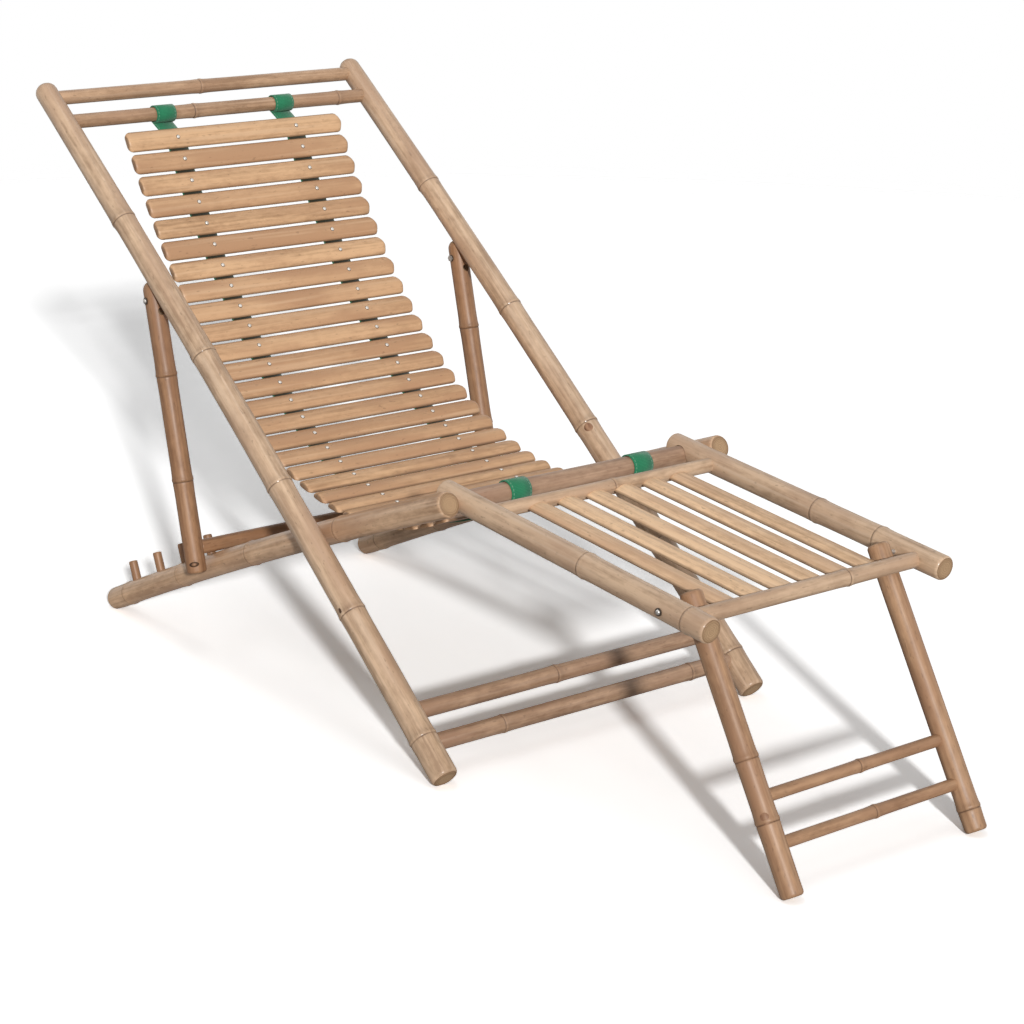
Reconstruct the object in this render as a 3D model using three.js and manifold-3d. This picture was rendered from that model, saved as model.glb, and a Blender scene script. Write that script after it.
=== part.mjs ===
// A folding bamboo recliner with a roll-up slatted sling and a hook-on footrest.
// Millimetres, +Z up. +X points from the head to the foot end and +Y to the sitter's left.
// Three frames share one pair of long back poles: the seat frame crosses them at two pivots, a pair of
// forked props holds them up, and the footrest hooks over the seat frame's front rail.

import * as THREE from 'three';
import { mergeVertices } from 'three/addons/utils/BufferGeometryUtils.js';
import Module from 'manifold-3d';

const wasm = await Module();
wasm.setup();

// Overall width over the back poles
const overallWidth = 590;
const seatGap = 0.3;
const runningGap = 0.4;
const floorTrim = 1.5;
const tenonShare = 0.65;
const tenonDepthShare = 0.8;
const overlap = 3;
const half = 0.5;
const rad = THREE.MathUtils.degToRad;

// Bamboo: what every pole, rail and leg has
const poleSides = 14;
const railSides = 12;
const nodeRise = 1;
const nodeReach = 6;
const endRoundShare = 0.3;
const roundMiddleShare = 0.3;
const arcSteps = 6;
const cornerSteps = 3;
const holeSides = 16;
const mergeTolerance = 1e-4;

// Back frame: two long poles from the front feet up to the head, and four rails
const backPoleLength = 1252;
const backPoleFootRadius = 19;
const backPoleHeadRadius = 16.5;
const backPoleAngle = 38.35;
const backPoleBow = 10;
const backPoleNodes = [0.024, 0.175, 0.345, 0.54, 0.745, 0.9];
const headRailRadius = 10.5;
const headRailShares = { top: 0.98, sling: 0.94 };
const footRailRadius = 12;
const footRailShares = { upper: 0.083, lower: 0.043 };
const headRailNodes = { top: [0.47], sling: [0.4, 0.9] };
const footRailNodes = { upper: [0.45], lower: [0.22, 0.85] };

// Seat frame: two poles from the rear feet up to the front rail, inside the back poles
const seatPoleLength = 900;
const seatPoleRearRadius = 17;
const seatPoleFrontRadius = 17.5;
const seatPoleBow = 9;
const seatPoleNodes = [0.06, 0.245, 0.467, 0.725];
const frontRailRadius = 14;
const frontRailInset = 30;
const frontRailNodes = [0.3, 0.74];
const frameGap = 1.5;

// Pivots where the two frames cross: a dowel fixed in each seat pole turns in a blind hole
const pivotShareOnBack = 0.315;
const pivotShareOnSeat = 0.693;
const pivotRadius = 6;
const pivotDepthShare = 0.6;

// Props: forked at the top round a tongue under each back pole, joined by a cross bar at the bottom
const propRadius = 14.5;
const propShareOnBack = 0.68;
const propHingeDrop = 33;
const propTopReach = 27;
const propFootReach = 36;
const propNodes = [0.32, 0.68];
const tongueThickness = 8;
const tongueHalfWidth = 12;
const slotDepth = 16;
const boltRadius = 3;
const boltHeadRadius = 5.5;
const boltHeadHeight = 3;
const crossBarRadius = 10.5;
const crossBarNodes = [0.36, 0.8];

// Pegs on the seat poles: the cross bar lies in front of the foremost one
const pegRadius = 6.5;
const pegHeight = 24;
const pegCount = 4;
const pegPitch = 76;
const foremostPegStation = 305;

// Footrest: two poles hooked over the front rail, two rails and lengthwise slats
const restPoleLength = 509;
const restPoleRadius = 16.5;
const restPoleNodes = [0.3, 0.56, 0.78];
const restPoleTail = 29;
const hookRise = 6;
const restRearRailRadius = 10;
const restRearRailStation = 88;
const restFrontRailRadius = 10.5;
const restFrontRailInset = 41;
const restSlatCount = 6;
const restSlatWidth = 36;
const restSlatRise = 8;
const restSideGap = 2;
const restSlatBite = 5;

// Footrest legs: bolted inside the footrest poles, stopped by its front rail
const legRadius = 14.5;
const legReach = 365;
const legStub = 15;
const legTopRoundShare = 0.4;
const legNodes = [0.08, 0.245, 0.45];
const legAngleToPole = 53.5;
const legSideGap = 9;
const legRailRadius = 8;
const legRailNodes = [0.52];
const legRailHeights = { upper: 122, lower: 64 };

// Sling: half-round slats riveted to two straps that hang between the sling rail and the front rail
const slackShare = 0.463;
const slatCount = 28;
const slatSideGap = 26.5;
const slatWidth = 31.5;
const slatRise = 8.5;
const slatEndRadius = 11;
const slatLead = 46;
const slatTail = 66;
const strapWidth = 34;
const strapThickness = 2;
const strapInset = 86;
const strapLoopSteps = 14;
const strapRunSteps = 54;
const strapOpenAngle = rad(70);

// Materials

function bamboo(color, roughness = 0.5) {
  return new THREE.MeshStandardMaterial({ color, roughness, metalness: 0 });
}

const materials = {
  pole: bamboo(0xc9a272),
  rail: bamboo(0xa5794f),
  seatPole: bamboo(0xbb9064),
  prop: bamboo(0xa97648),
  peg: bamboo(0xb58a58, 0.7),
  slat: bamboo(0xc2925f),
  restPole: bamboo(0xc09a70),
  restSlat: bamboo(0xcba06c),
  leg: bamboo(0xbd9468),
  strap: new THREE.MeshStandardMaterial({ color: 0x3f9a62, roughness: 0.85, metalness: 0 }),
  steel: new THREE.MeshStandardMaterial({ color: 0x8f9195, roughness: 0.35, metalness: 0.9 }),
};

// The side view, in which every pole's axis is drawn: points are Vector2(x, z)

const point = (x, z) => new THREE.Vector2(x, z);
const unit = (angle) => point(Math.cos(angle), Math.sin(angle));
const leftOf = (direction) => point(-direction.y, direction.x);
const step = (from, direction, distance) => from.clone().addScaledVector(direction, distance);

// A pole's axis in the side view: it starts at `start`, runs along `angle` and rises by `bow` at its middle
function axisLine(start, angle, length, bow = 0) {
  const along = unit(angle);
  const up = leftOf(along);
  const rise = (station) => (4 * bow * station * (length - station)) / (length * length);
  return {
    start, angle, length, bow, along, up, rise,
    at: (station, lift = 0) => step(step(start, along, station), up, rise(station) + lift),
  };
}

// How far above the floor a pole's end centre stands, once its rounded rim is trimmed flat
function standHeight(radius, angle) {
  const round = radius * endRoundShare;
  return (radius - round) * Math.cos(angle) + round - round * Math.sin(angle) - floorTrim;
}

// Bisection for the one root of an increasing function
function solve(low, high, f) {
  let [a, b] = [low, high];
  while (b - a > Number.EPSILON * high) {
    const middle = (a + b) * half;
    if (middle === a || middle === b) break;
    if (f(middle) < 0) a = middle;
    else b = middle;
  }
  return (a + b) * half;
}

// Side positions

const backSide = overallWidth * half - backPoleFootRadius - nodeRise;
const seatSide = backSide - backPoleFootRadius - seatPoleFrontRadius - frameGap;
const restSide = seatSide - seatPoleFrontRadius - restPoleRadius - restSideGap;
const legSide = restSide - restPoleRadius - legRadius - legSideGap;
const slatLength = 2 * (seatSide - seatPoleFrontRadius - slatSideGap);
const strapSpread = slatLength * half - strapInset;

// Back poles: the head is at the rear, so the axis runs from the front foot back and up

const backAngle = Math.PI - rad(backPoleAngle);
const backAxis = axisLine(
  point(0, standHeight(backPoleFootRadius, rad(backPoleAngle))), backAngle, backPoleLength, -backPoleBow);
const backRadiusAt = (station) =>
  THREE.MathUtils.lerp(backPoleFootRadius, backPoleHeadRadius, station / backPoleLength);
const pivot = backAxis.at(pivotShareOnBack * backPoleLength);

// Seat poles: their slope follows from the pivot's height and the rear foot's

const pivotOnSeat = pivotShareOnSeat * seatPoleLength;

function seatAxisFor(angle) {
  const foot = standHeight(seatPoleRearRadius, angle);
  const flat = axisLine(point(0, foot), angle, seatPoleLength, seatPoleBow);
  const shift = pivot.x - flat.at(pivotOnSeat).x;
  return axisLine(point(shift, foot), angle, seatPoleLength, seatPoleBow);
}

const seatAngle = solve(0, rad(backPoleAngle), (angle) => seatAxisFor(angle).at(pivotOnSeat).y - pivot.y);
const seatAxis = seatAxisFor(seatAngle);
const frontRail = seatAxis.at(seatPoleLength - frontRailInset);

// Cross bar and props

const barStation = foremostPegStation + pegRadius + crossBarRadius + runningGap;
const seatRadiusAt = (station) =>
  THREE.MathUtils.lerp(seatPoleRearRadius, seatPoleFrontRadius, station / seatPoleLength);
const crossBar = seatAxis.at(barStation, seatRadiusAt(barStation) + nodeRise + crossBarRadius + seatGap);
const propStation = propShareOnBack * backPoleLength;
const propHinge = backAxis.at(propStation, propHingeDrop);
const propSpan = propHinge.distanceTo(crossBar);
const propAngle = Math.atan2(propHinge.y - crossBar.y, propHinge.x - crossBar.x);
const propAxis = axisLine(
  step(crossBar, unit(propAngle), -propFootReach), propAngle, propFootReach + propSpan + propTopReach);

// Footrest: its slope follows from its legs, which stand on the floor

const legLean = rad(legAngleToPole);
const hingeToStop = (legRadius + restFrontRailRadius + seatGap + nodeRise) / Math.sin(legLean);
const restHingeStation = restPoleLength - restFrontRailInset - hingeToStop;

function restAxisFor(fall) {
  const along = unit(-fall);
  const hookCentre = step(frontRail, leftOf(along), hookRise);
  return axisLine(step(hookCentre, along, -restPoleTail), -fall, restPoleLength);
}

const legFootHeight = (angle) => standHeight(legRadius, angle);
const restFall = solve(-legLean, legLean, (fall) => {
  const hinge = restAxisFor(fall).at(restHingeStation);
  const slope = fall + legLean;
  return legReach * Math.sin(slope) + legFootHeight(slope) - hinge.y;
});
const restAxis = restAxisFor(restFall);
const legHinge = restAxis.at(restHingeStation);
const legSlope = restFall + legLean;
const legAxis = axisLine(step(legHinge, unit(-legSlope), legReach), Math.PI - legSlope, legReach + legStub);

// Sling: a hanging chain, tangent to the sling rail's front and to the front rail's underside

const slingRail = backAxis.at(headRailShares.sling * backPoleLength);
const strapOffset = seatGap + strapThickness * half;
const upperWrap = headRailRadius + nodeRise + strapOffset;
const lowerWrap = frontRailRadius + nodeRise + strapOffset;
const chainScale = slackShare * slingRail.distanceTo(frontRail);

function chainEnds(upperSlope, lowerSlope) {
  const upper = step(slingRail, leftOf(unit(upperSlope)), upperWrap);
  const lower = step(frontRail, leftOf(unit(lowerSlope)), -lowerWrap);
  return { upper, lower, run: lower.clone().sub(upper) };
}

const chainRun = (upperSlope, lowerSlope) => point(
  chainScale * (Math.asinh(Math.tan(lowerSlope)) - Math.asinh(Math.tan(upperSlope))),
  chainScale * (1 / Math.cos(lowerSlope) - 1 / Math.cos(upperSlope)));

// For each upper slope the lower one follows from the run's length, and the drop then fixes the upper one
const steepest = rad(89);
const lowerSlopeFor = (upperSlope) => solve(-upperSlope - steepest, steepest, (lowerSlope) =>
  chainRun(upperSlope, lowerSlope).x - chainEnds(upperSlope, lowerSlope).run.x);
const upperSlope = -solve(0, steepest, (slope) => {
  const lower = lowerSlopeFor(-slope);
  return chainEnds(-slope, lower).run.y - chainRun(-slope, lower).y;
});
const lowerSlope = lowerSlopeFor(upperSlope);
const chainTop = chainEnds(upperSlope, lowerSlope).upper;
const chainLength = chainScale * (Math.tan(lowerSlope) - Math.tan(upperSlope));

// Point and slope of the strap's centreline at an arc length from the sling rail
function chainAt(arc) {
  const slope = Math.atan(arc / chainScale + Math.tan(upperSlope));
  const run = chainRun(upperSlope, slope);
  return { centre: chainTop.clone().add(run), slope };
}

const slatPitch = (chainLength - slatLead - slatTail) / (slatCount - 1);

// Geometry

function toSolid(geometry) {
  const bare = geometry.index ? geometry.clone() : mergeVertices(geometry);
  bare.deleteAttribute('normal');
  bare.deleteAttribute('uv');
  const merged = mergeVertices(bare, mergeTolerance);
  return new wasm.Manifold(new wasm.Mesh({
    numProp: 3,
    vertProperties: new Float32Array(merged.attributes.position.array),
    triVerts: new Uint32Array(merged.index.array),
  }));
}

function toGeometry(solid) {
  const mesh = solid.getMesh();
  const geometry = new THREE.BufferGeometry();
  geometry.setAttribute('position', new THREE.BufferAttribute(new Float32Array(mesh.vertProperties), 3));
  geometry.setIndex(new THREE.BufferAttribute(new Uint32Array(mesh.triVerts), 1));
  geometry.computeVertexNormals();
  return geometry;
}

const cut = (geometry, ...tools) =>
  toGeometry(tools.reduce((solid, tool) => solid.subtract(toSolid(tool)), toSolid(geometry)));
const join = (geometry, ...others) =>
  toGeometry(others.reduce((solid, other) => solid.add(toSolid(other)), toSolid(geometry)));

// A bamboo length along +X: rounded ends, a slight taper and a low ring at each node
function bambooGeometry({
  length, startRadius, endRadius = startRadius, nodes = [], topRoundShare = endRoundShare, sides = poleSides,
}) {
  const radiusAt = (x) => THREE.MathUtils.lerp(startRadius, endRadius, x / length);
  const startRound = startRadius * endRoundShare;
  const endRound = endRadius * topRoundShare;
  const profile = [point(0, 0), point(startRadius - startRound, 0)];
  const startMiddle = startRound * roundMiddleShare;
  const endMiddle = endRound * roundMiddleShare;
  profile.push(point(startRadius - startMiddle, startMiddle), point(radiusAt(startRound), startRound));
  for (const share of nodes) {
    const x = share * length;
    profile.push(point(radiusAt(x - nodeReach), x - nodeReach));
    profile.push(point(radiusAt(x) + nodeRise, x));
    profile.push(point(radiusAt(x + nodeReach), x + nodeReach));
  }
  profile.push(point(radiusAt(length - endRound), length - endRound));
  profile.push(point(endRadius - endMiddle, length - endMiddle));
  profile.push(point(endRadius - endRound, length), point(0, length));
  const geometry = new THREE.LatheGeometry(profile, sides);
  return geometry.rotateZ(-Math.PI * half);
}

// The same length bent so that its middle stands `bow` off the chord, towards +Z
function bend(geometry, length, bow) {
  const position = geometry.attributes.position;
  for (let i = 0; i < position.count; i += 1) {
    const x = THREE.MathUtils.clamp(position.getX(i), 0, length);
    position.setZ(i, position.getZ(i) + (4 * bow * x * (length - x)) / (length * length));
  }
  return geometry;
}

// A rail along Y: a shoulder at each pole's face and a thinner tenon beyond it
function railGeometry({ span, radius, tenon, tenonRadius, nodes = [] }) {
  const end = span * half;
  const profile = [point(0, -end - tenon), point(tenonRadius, -end - tenon), point(tenonRadius, -end)];
  profile.push(point(radius - nodeRise, -end), point(radius, -end + nodeRise));
  for (const share of nodes) {
    const y = THREE.MathUtils.lerp(-end, end, share);
    profile.push(point(radius, y - nodeReach), point(radius + nodeRise, y), point(radius, y + nodeReach));
  }
  profile.push(point(radius, end - nodeRise), point(radius - nodeRise, end));
  profile.push(point(tenonRadius, end), point(tenonRadius, end + tenon), point(0, end + tenon));
  return new THREE.LatheGeometry(profile, railSides);
}

// A closed outline in a plane, pulled out by a depth centred on the plane
function plate(outline, depth) {
  const geometry = new THREE.ExtrudeGeometry(new THREE.Shape(outline), { depth, bevelEnabled: false });
  return geometry.translate(0, 0, -depth * half);
}

// An outline drawn in the side view becomes a plate across the chair
const sidePlate = (outline, depth) => plate(outline, depth).rotateX(Math.PI * half);

function arcPoints(centre, radius, from, to, count) {
  return Array.from({ length: count + 1 }, (_, i) =>
    step(centre, unit(THREE.MathUtils.lerp(from, to, i / count)), radius));
}

// Split bamboo: a chord of the given width under an arc of the given rise
function segmentOutline(width, rise) {
  const radius = (width * width * half * half + rise * rise) / (2 * rise);
  const spread = Math.asin(width * half / radius);
  const up = Math.PI * half;
  return arcPoints(point(0, rise - radius), radius, up - spread, up + spread, arcSteps);
}

function roundedRectangle(width, height, radius) {
  const [x, y] = [width * half - radius, height * half - radius];
  const quarter = Math.PI * half;
  return [point(x, y), point(-x, y), point(-x, -y), point(x, -y)].flatMap((corner, i) =>
    arcPoints(corner, radius, i * quarter, (i + 1) * quarter, cornerSteps));
}

function bolt(shankRadius, headRadius, headHeight, length) {
  const profile = [
    point(0, -headHeight), point(headRadius, -headHeight), point(headRadius, 0), point(shankRadius, 0),
    point(shankRadius, length), point(headRadius, length), point(headRadius, length + headHeight),
    point(0, length + headHeight),
  ];
  return new THREE.LatheGeometry(profile, railSides);
}

// Cutting tools in the chair's frame

function drill(centre, from, to, radius) {
  const tool = new THREE.CylinderGeometry(radius, radius, Math.abs(to - from), holeSides);
  return tool.translate(centre.x, (from + to) * half, centre.y);
}

function floorTool() {
  const size = backPoleLength;
  return new THREE.BoxGeometry(4 * size, 4 * size, size).translate(0, 0, -size * half);
}

// A box along a pole's axis, from `station` on and between two lifts, across `depth` at `side`
function boxAlong(axis, side, { from, to, low, high, depth }) {
  const tool = new THREE.BoxGeometry(to - from, depth, high - low);
  tool.translate((from + to) * half, 0, (low + high) * half);
  return tool.applyMatrix4(placement(axis.start, side, axis.angle));
}

function placement(start, side, angle) {
  const matrix = new THREE.Matrix4().makeRotationY(-angle);
  return matrix.setPosition(start.x, side, start.y);
}

// Assembly

const chair = new THREE.Group();
const chairParts = new THREE.Group();
chair.add(chairParts);

function addPiece(name, geometry, material, { start, side = 0, angle = 0 }) {
  const mesh = new THREE.Mesh(geometry, material);
  mesh.name = name;
  mesh.applyMatrix4(placement(start, side, angle));
  chairParts.add(mesh);
}

const sides = { left: 1, right: -1 };

// A pole on both sides, carved and joined with tools given in the chair's frame
function addPoles(name, material, axis, side, shape, { cuts = () => [], joins = () => [] } = {}) {
  for (const [sideName, sign] of Object.entries(sides)) {
    const matrix = placement(axis.start, side * sign, axis.angle);
    const toLocal = matrix.clone().invert();
    const local = (tool) => tool.applyMatrix4(toLocal);
    let geometry = bend(bambooGeometry({ length: axis.length, ...shape }), axis.length, axis.bow);
    const extra = joins(sign).map(local);
    if (extra.length) geometry = join(geometry, ...extra);
    const tools = cuts(sign).map(local);
    if (tools.length) geometry = cut(geometry, ...tools);
    const place = { start: axis.start, side: side * sign, angle: axis.angle };
    addPiece(`${name}_${sideName}`, geometry, material, place);
  }
}

// A rail between two poles, and the blind holes that its tenons need in them
function railFor({
  name, centre, radius, side, poleRadius, nodes = [], material = materials.rail, through = false,
}) {
  const face = side - poleRadius - nodeRise - seatGap;
  const tenon = through ? 2 * (poleRadius + nodeRise) + seatGap : poleRadius * tenonDepthShare;
  const tenonRadius = radius * tenonShare;
  const holeEnd = face + tenon + (through ? overlap : seatGap);
  const geometry = railGeometry({ span: 2 * face, radius, tenon, tenonRadius, nodes });
  return {
    add: (pockets = []) => {
      const toLocal = placement(centre, 0, 0).invert();
      const tools = pockets.map((tool) => tool.applyMatrix4(toLocal));
      addPiece(name, tools.length ? cut(geometry, ...tools) : geometry, material, { start: centre });
    },
    hole: (sign) => drill(centre, sign * (face - overlap), sign * holeEnd, tenonRadius + seatGap),
  };
}

function backRailsFor(name, radius, shares, nodeShares) {
  return Object.entries(shares).map(([place, share]) => railFor({
    name: `${name}_${place}`,
    radius,
    nodes: nodeShares[place],
    centre: backAxis.at(share * backPoleLength),
    side: backSide,
    poleRadius: backRadiusAt(share * backPoleLength),
  }));
}

const backRails = [
  ...backRailsFor('head_rail', headRailRadius, headRailShares, headRailNodes),
  ...backRailsFor('foot_rail', footRailRadius, footRailShares, footRailNodes),
];

// The tongue is fixed to the back pole's underside and ends in a round eye at the prop's bolt
function tongue(sign) {
  const root = backAxis.at(propStation);
  const { along, angle } = backAxis;
  const eye = arcPoints(propHinge, tongueHalfWidth, angle + Math.PI, angle, railSides * half);
  const outline = [step(root, along, tongueHalfWidth), step(root, along, -tongueHalfWidth), ...eye];
  return sidePlate(outline, tongueThickness).translate(0, sign * backSide, 0);
}

const pivotFrom = seatSide;
const pivotTo = backSide + backPoleHeadRadius * pivotDepthShare;
const boltHole = boltRadius + runningGap;
const hingeDrill = (sign) => drill(
  propHinge, sign * (backSide - 2 * propRadius), sign * (backSide + 2 * propRadius), boltHole);

addPoles('back_pole', materials.pole, backAxis, backSide,
  {
    startRadius: backPoleFootRadius, endRadius: backPoleHeadRadius, length: backPoleLength,
    nodes: backPoleNodes,
  },
  {
    joins: (sign) => [tongue(sign)],
    cuts: (sign) => [
      floorTool(),
      hingeDrill(sign),
      drill(pivot, sign * (pivotFrom - overlap), sign * (pivotTo + runningGap), pivotRadius + runningGap),
      ...backRails.map((rail) => rail.hole(sign)),
    ],
  });
backRails.forEach((rail) => rail.add());

// Seat frame

const frontRailPiece = railFor({
  name: 'front_rail', centre: frontRail, radius: frontRailRadius, side: seatSide,
  poleRadius: seatPoleFrontRadius, nodes: frontRailNodes,
});

const pivotDowel = (sign) => drill(pivot, sign * pivotFrom, sign * pivotTo, pivotRadius);

function pegs(sign) {
  return Array.from({ length: pegCount }, (_, i) => {
    const station = foremostPegStation - i * pegPitch;
    const radius = seatRadiusAt(station);
    const tool = new THREE.CylinderGeometry(pegRadius, pegRadius, radius + pegHeight, railSides);
    tool.rotateX(Math.PI * half).translate(0, 0, (radius + pegHeight) * half);
    const foot = seatAxis.at(station);
    return tool.applyMatrix4(placement(foot, sign * seatSide, seatAxis.angle));
  });
}

addPoles('seat_pole', materials.seatPole, seatAxis, seatSide,
  {
    startRadius: seatPoleRearRadius, endRadius: seatPoleFrontRadius, length: seatPoleLength,
    nodes: seatPoleNodes,
  },
  {
    joins: (sign) => [pivotDowel(sign), ...pegs(sign)],
    cuts: (sign) => [floorTool(), frontRailPiece.hole(sign)],
  });
frontRailPiece.add();

// Props and cross bar

const crossBarPiece = railFor({
  name: 'cross_bar', centre: crossBar, radius: crossBarRadius, side: backSide, poleRadius: propRadius,
  nodes: crossBarNodes, material: materials.prop, through: true,
});

const forkFrom = propFootReach + propSpan - slotDepth;

function forkSlot(sign) {
  return boxAlong(propAxis, sign * backSide, {
    from: forkFrom, to: propAxis.length + overlap, low: -2 * propRadius, high: 2 * propRadius,
    depth: tongueThickness + 2 * seatGap,
  });
}

// The fork's top is bevelled along the back pole's underside
function forkBevel(sign) {
  const surface = backAxis.rise(propStation) + backRadiusAt(propStation) + nodeRise;
  return boxAlong(backAxis, sign * backSide, {
    from: propStation - propSpan * half, to: propStation + propSpan * half,
    low: surface - propSpan * half, high: surface, depth: 4 * propRadius,
  });
}

addPoles('prop', materials.prop, propAxis, backSide,
  { startRadius: propRadius, length: propAxis.length, nodes: propNodes },
  { cuts: (sign) => [forkSlot(sign), forkBevel(sign), hingeDrill(sign), crossBarPiece.hole(sign)] });
crossBarPiece.add();

function addBolts(name, centre, from, length) {
  for (const [sideName, sign] of Object.entries(sides)) {
    const geometry = bolt(boltRadius, boltHeadRadius, boltHeadHeight, length);
    if (sign < 0) geometry.rotateX(Math.PI);
    addPiece(`${name}_${sideName}`, geometry, materials.steel, { start: centre, side: sign * from });
  }
}

const propFace = propRadius + nodeRise + seatGap;
addBolts('prop_bolt', propHinge, backSide - propFace, 2 * propFace);

// Footrest

const slatOuterSide = legSide - legRadius - nodeRise - boltHeadHeight - restSideGap;
const restSlatPitch = (2 * slatOuterSide - restSlatWidth) / (restSlatCount - 1);
const restFrontStation = restPoleLength - restFrontRailInset;

const restRail = (name, station, radius) => railFor({
  name, radius, centre: restAxis.at(station), side: restSide, poleRadius: restPoleRadius,
  material: materials.restPole,
});
const restRearRail = restRail('rest_rail_rear', restRearRailStation, restRearRailRadius);
const restFrontRail = restRail('rest_rail_front', restFrontStation, restFrontRailRadius);

// A slat from rail to rail, let into both; the pocket is the same shape with a gap all round
function restSlatGeometry(gap = 0) {
  const from = restRearRailStation + restRearRailRadius - restSlatBite - gap;
  const to = restFrontStation - restFrontRailRadius + restSlatBite + gap;
  const geometry = plate(segmentOutline(restSlatWidth + 4 * gap, restSlatRise + 2 * gap), to - from);
  geometry.rotateX(Math.PI * half).rotateZ(Math.PI * half);
  return geometry.translate((from + to) * half, 0, -restSlatRise * half - gap);
}

const restSlatSides = Array.from({ length: restSlatCount }, (_, i) =>
  restSlatPitch * (i - (restSlatCount - 1) * half));

function slatPockets() {
  return restSlatSides.map((side) =>
    restSlatGeometry(seatGap).applyMatrix4(placement(restAxis.start, side, restAxis.angle)));
}

restRearRail.add(slatPockets());
restFrontRail.add(slatPockets());
restSlatSides.forEach((side, i) => addPiece(
  `rest_slat_${i + 1}`, restSlatGeometry(), materials.restSlat,
  { start: restAxis.start, side, angle: restAxis.angle }));

// The hook is a round seat for the front rail with a mouth below it
function hookTools(sign) {
  const radius = frontRailRadius + seatGap;
  const reach = 2 * restPoleRadius;
  const seat = drill(frontRail, sign * (restSide - reach), sign * (restSide + reach), radius);
  const centre = restPoleTail;
  const mouth = boxAlong(restAxis, sign * restSide, {
    from: centre - radius, to: centre + radius, low: -hookRise - 2 * reach, high: -hookRise, depth: 2 * reach,
  });
  return [seat, mouth];
}

const legDrill = (sign) => drill(legHinge, sign * (legSide - 2 * legRadius),
  sign * (restSide + 2 * restPoleRadius), boltHole);

addPoles('rest_pole', materials.restPole, restAxis, restSide,
  { startRadius: restPoleRadius, length: restPoleLength, nodes: restPoleNodes },
  {
    cuts: (sign) => [
      ...hookTools(sign), legDrill(sign), restRearRail.hole(sign), restFrontRail.hole(sign),
    ],
  });

// Legs

const legRail = (name, height) => railFor({
  name, radius: legRailRadius, centre: legAxis.at(height), side: legSide, poleRadius: legRadius,
  material: materials.leg, nodes: legRailNodes,
});
const legRails = Object.entries(legRailHeights).map(([place, height]) =>
  legRail(`leg_rail_${place}`, height));

addPoles('leg', materials.leg, legAxis, legSide,
  {
    startRadius: legRadius, length: legAxis.length, nodes: legNodes, topRoundShare: legTopRoundShare,
  },
  { cuts: (sign) => [floorTool(), legDrill(sign), ...legRails.map((rail) => rail.hole(sign))] });
legRails.forEach((rail) => rail.add());

const legBoltFrom = legSide - legRadius - nodeRise - seatGap;
const legBoltTo = restSide + restPoleRadius + nodeRise + seatGap;
addBolts('leg_bolt', legHinge, legBoltFrom, legBoltTo - legBoltFrom);

// Sling slats: a half-round section with the plan's corners rounded off

function slingSlatGeometry() {
  const outline = segmentOutline(slatWidth, slatRise);
  const section = plate(outline, slatLength).rotateX(Math.PI * half);
  const plan = plate(roundedRectangle(slatWidth + overlap, slatLength, slatEndRadius), 4 * slatRise);
  return toGeometry(toSolid(section).intersect(toSolid(plan)));
}

// The strap curves up between a slat's edges by this much where it bends most
const slatChordRise = (slatWidth * slatWidth) / (8 * chainScale);
const slatLift = strapThickness * half + slatChordRise + seatGap;
const slatGeometry = slingSlatGeometry();
for (let i = 0; i < slatCount; i += 1) {
  const { centre, slope } = chainAt(slatLead + i * slatPitch);
  const seat = step(centre, leftOf(unit(slope)), slatLift);
  const name = `sling_slat_${String(i + 1).padStart(2, '0')}`;
  addPiece(name, slatGeometry.clone(), materials.slat, { start: seat, angle: slope });
}

// Straps: a run along the chain that goes once round each rail and ends short of itself

function strapLine() {
  const turn = 2 * Math.PI - strapOpenAngle;
  const normal = Math.PI * half;
  const upperFrom = upperSlope + normal;
  const upperLoop = arcPoints(slingRail, upperWrap, upperFrom + turn, upperFrom, strapLoopSteps);
  const run = Array.from({ length: strapRunSteps - 1 }, (_, i) =>
    chainAt(((i + 1) * chainLength) / strapRunSteps).centre);
  const lowerFrom = lowerSlope - normal;
  const lowerLoop = arcPoints(frontRail, lowerWrap, lowerFrom, lowerFrom + turn, strapLoopSteps);
  return [...upperLoop, ...run, ...lowerLoop];
}

// A ribbon: the line offset to both sides by half the strap's thickness
function strapGeometry() {
  const line = strapLine();
  const offsets = line.map((p, i) => {
    const before = line[Math.max(i - 1, 0)];
    const after = line[Math.min(i + 1, line.length - 1)];
    return leftOf(after.clone().sub(before).normalize()).multiplyScalar(strapThickness * half);
  });
  const outer = line.map((p, i) => p.clone().add(offsets[i]));
  const inner = line.map((p, i) => p.clone().sub(offsets[i]));
  return sidePlate([...outer, ...inner.reverse()], strapWidth);
}

for (const [sideName, sign] of Object.entries(sides)) {
  const place = { start: point(0, 0), side: sign * strapSpread };
  addPiece(`strap_${sideName}`, strapGeometry(), materials.strap, place);
}

// The origin is on the floor, under the middle of the chair

const box = new THREE.Box3().setFromObject(chairParts);
chairParts.position.x = -(box.min.x + box.max.x) * half;

export default chair;
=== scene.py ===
"""A folding bamboo recliner: its looks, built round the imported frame. Metres, +X to the foot end, +Z up."""

import math

import bpy
from mathutils import Matrix, Vector, noise


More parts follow.
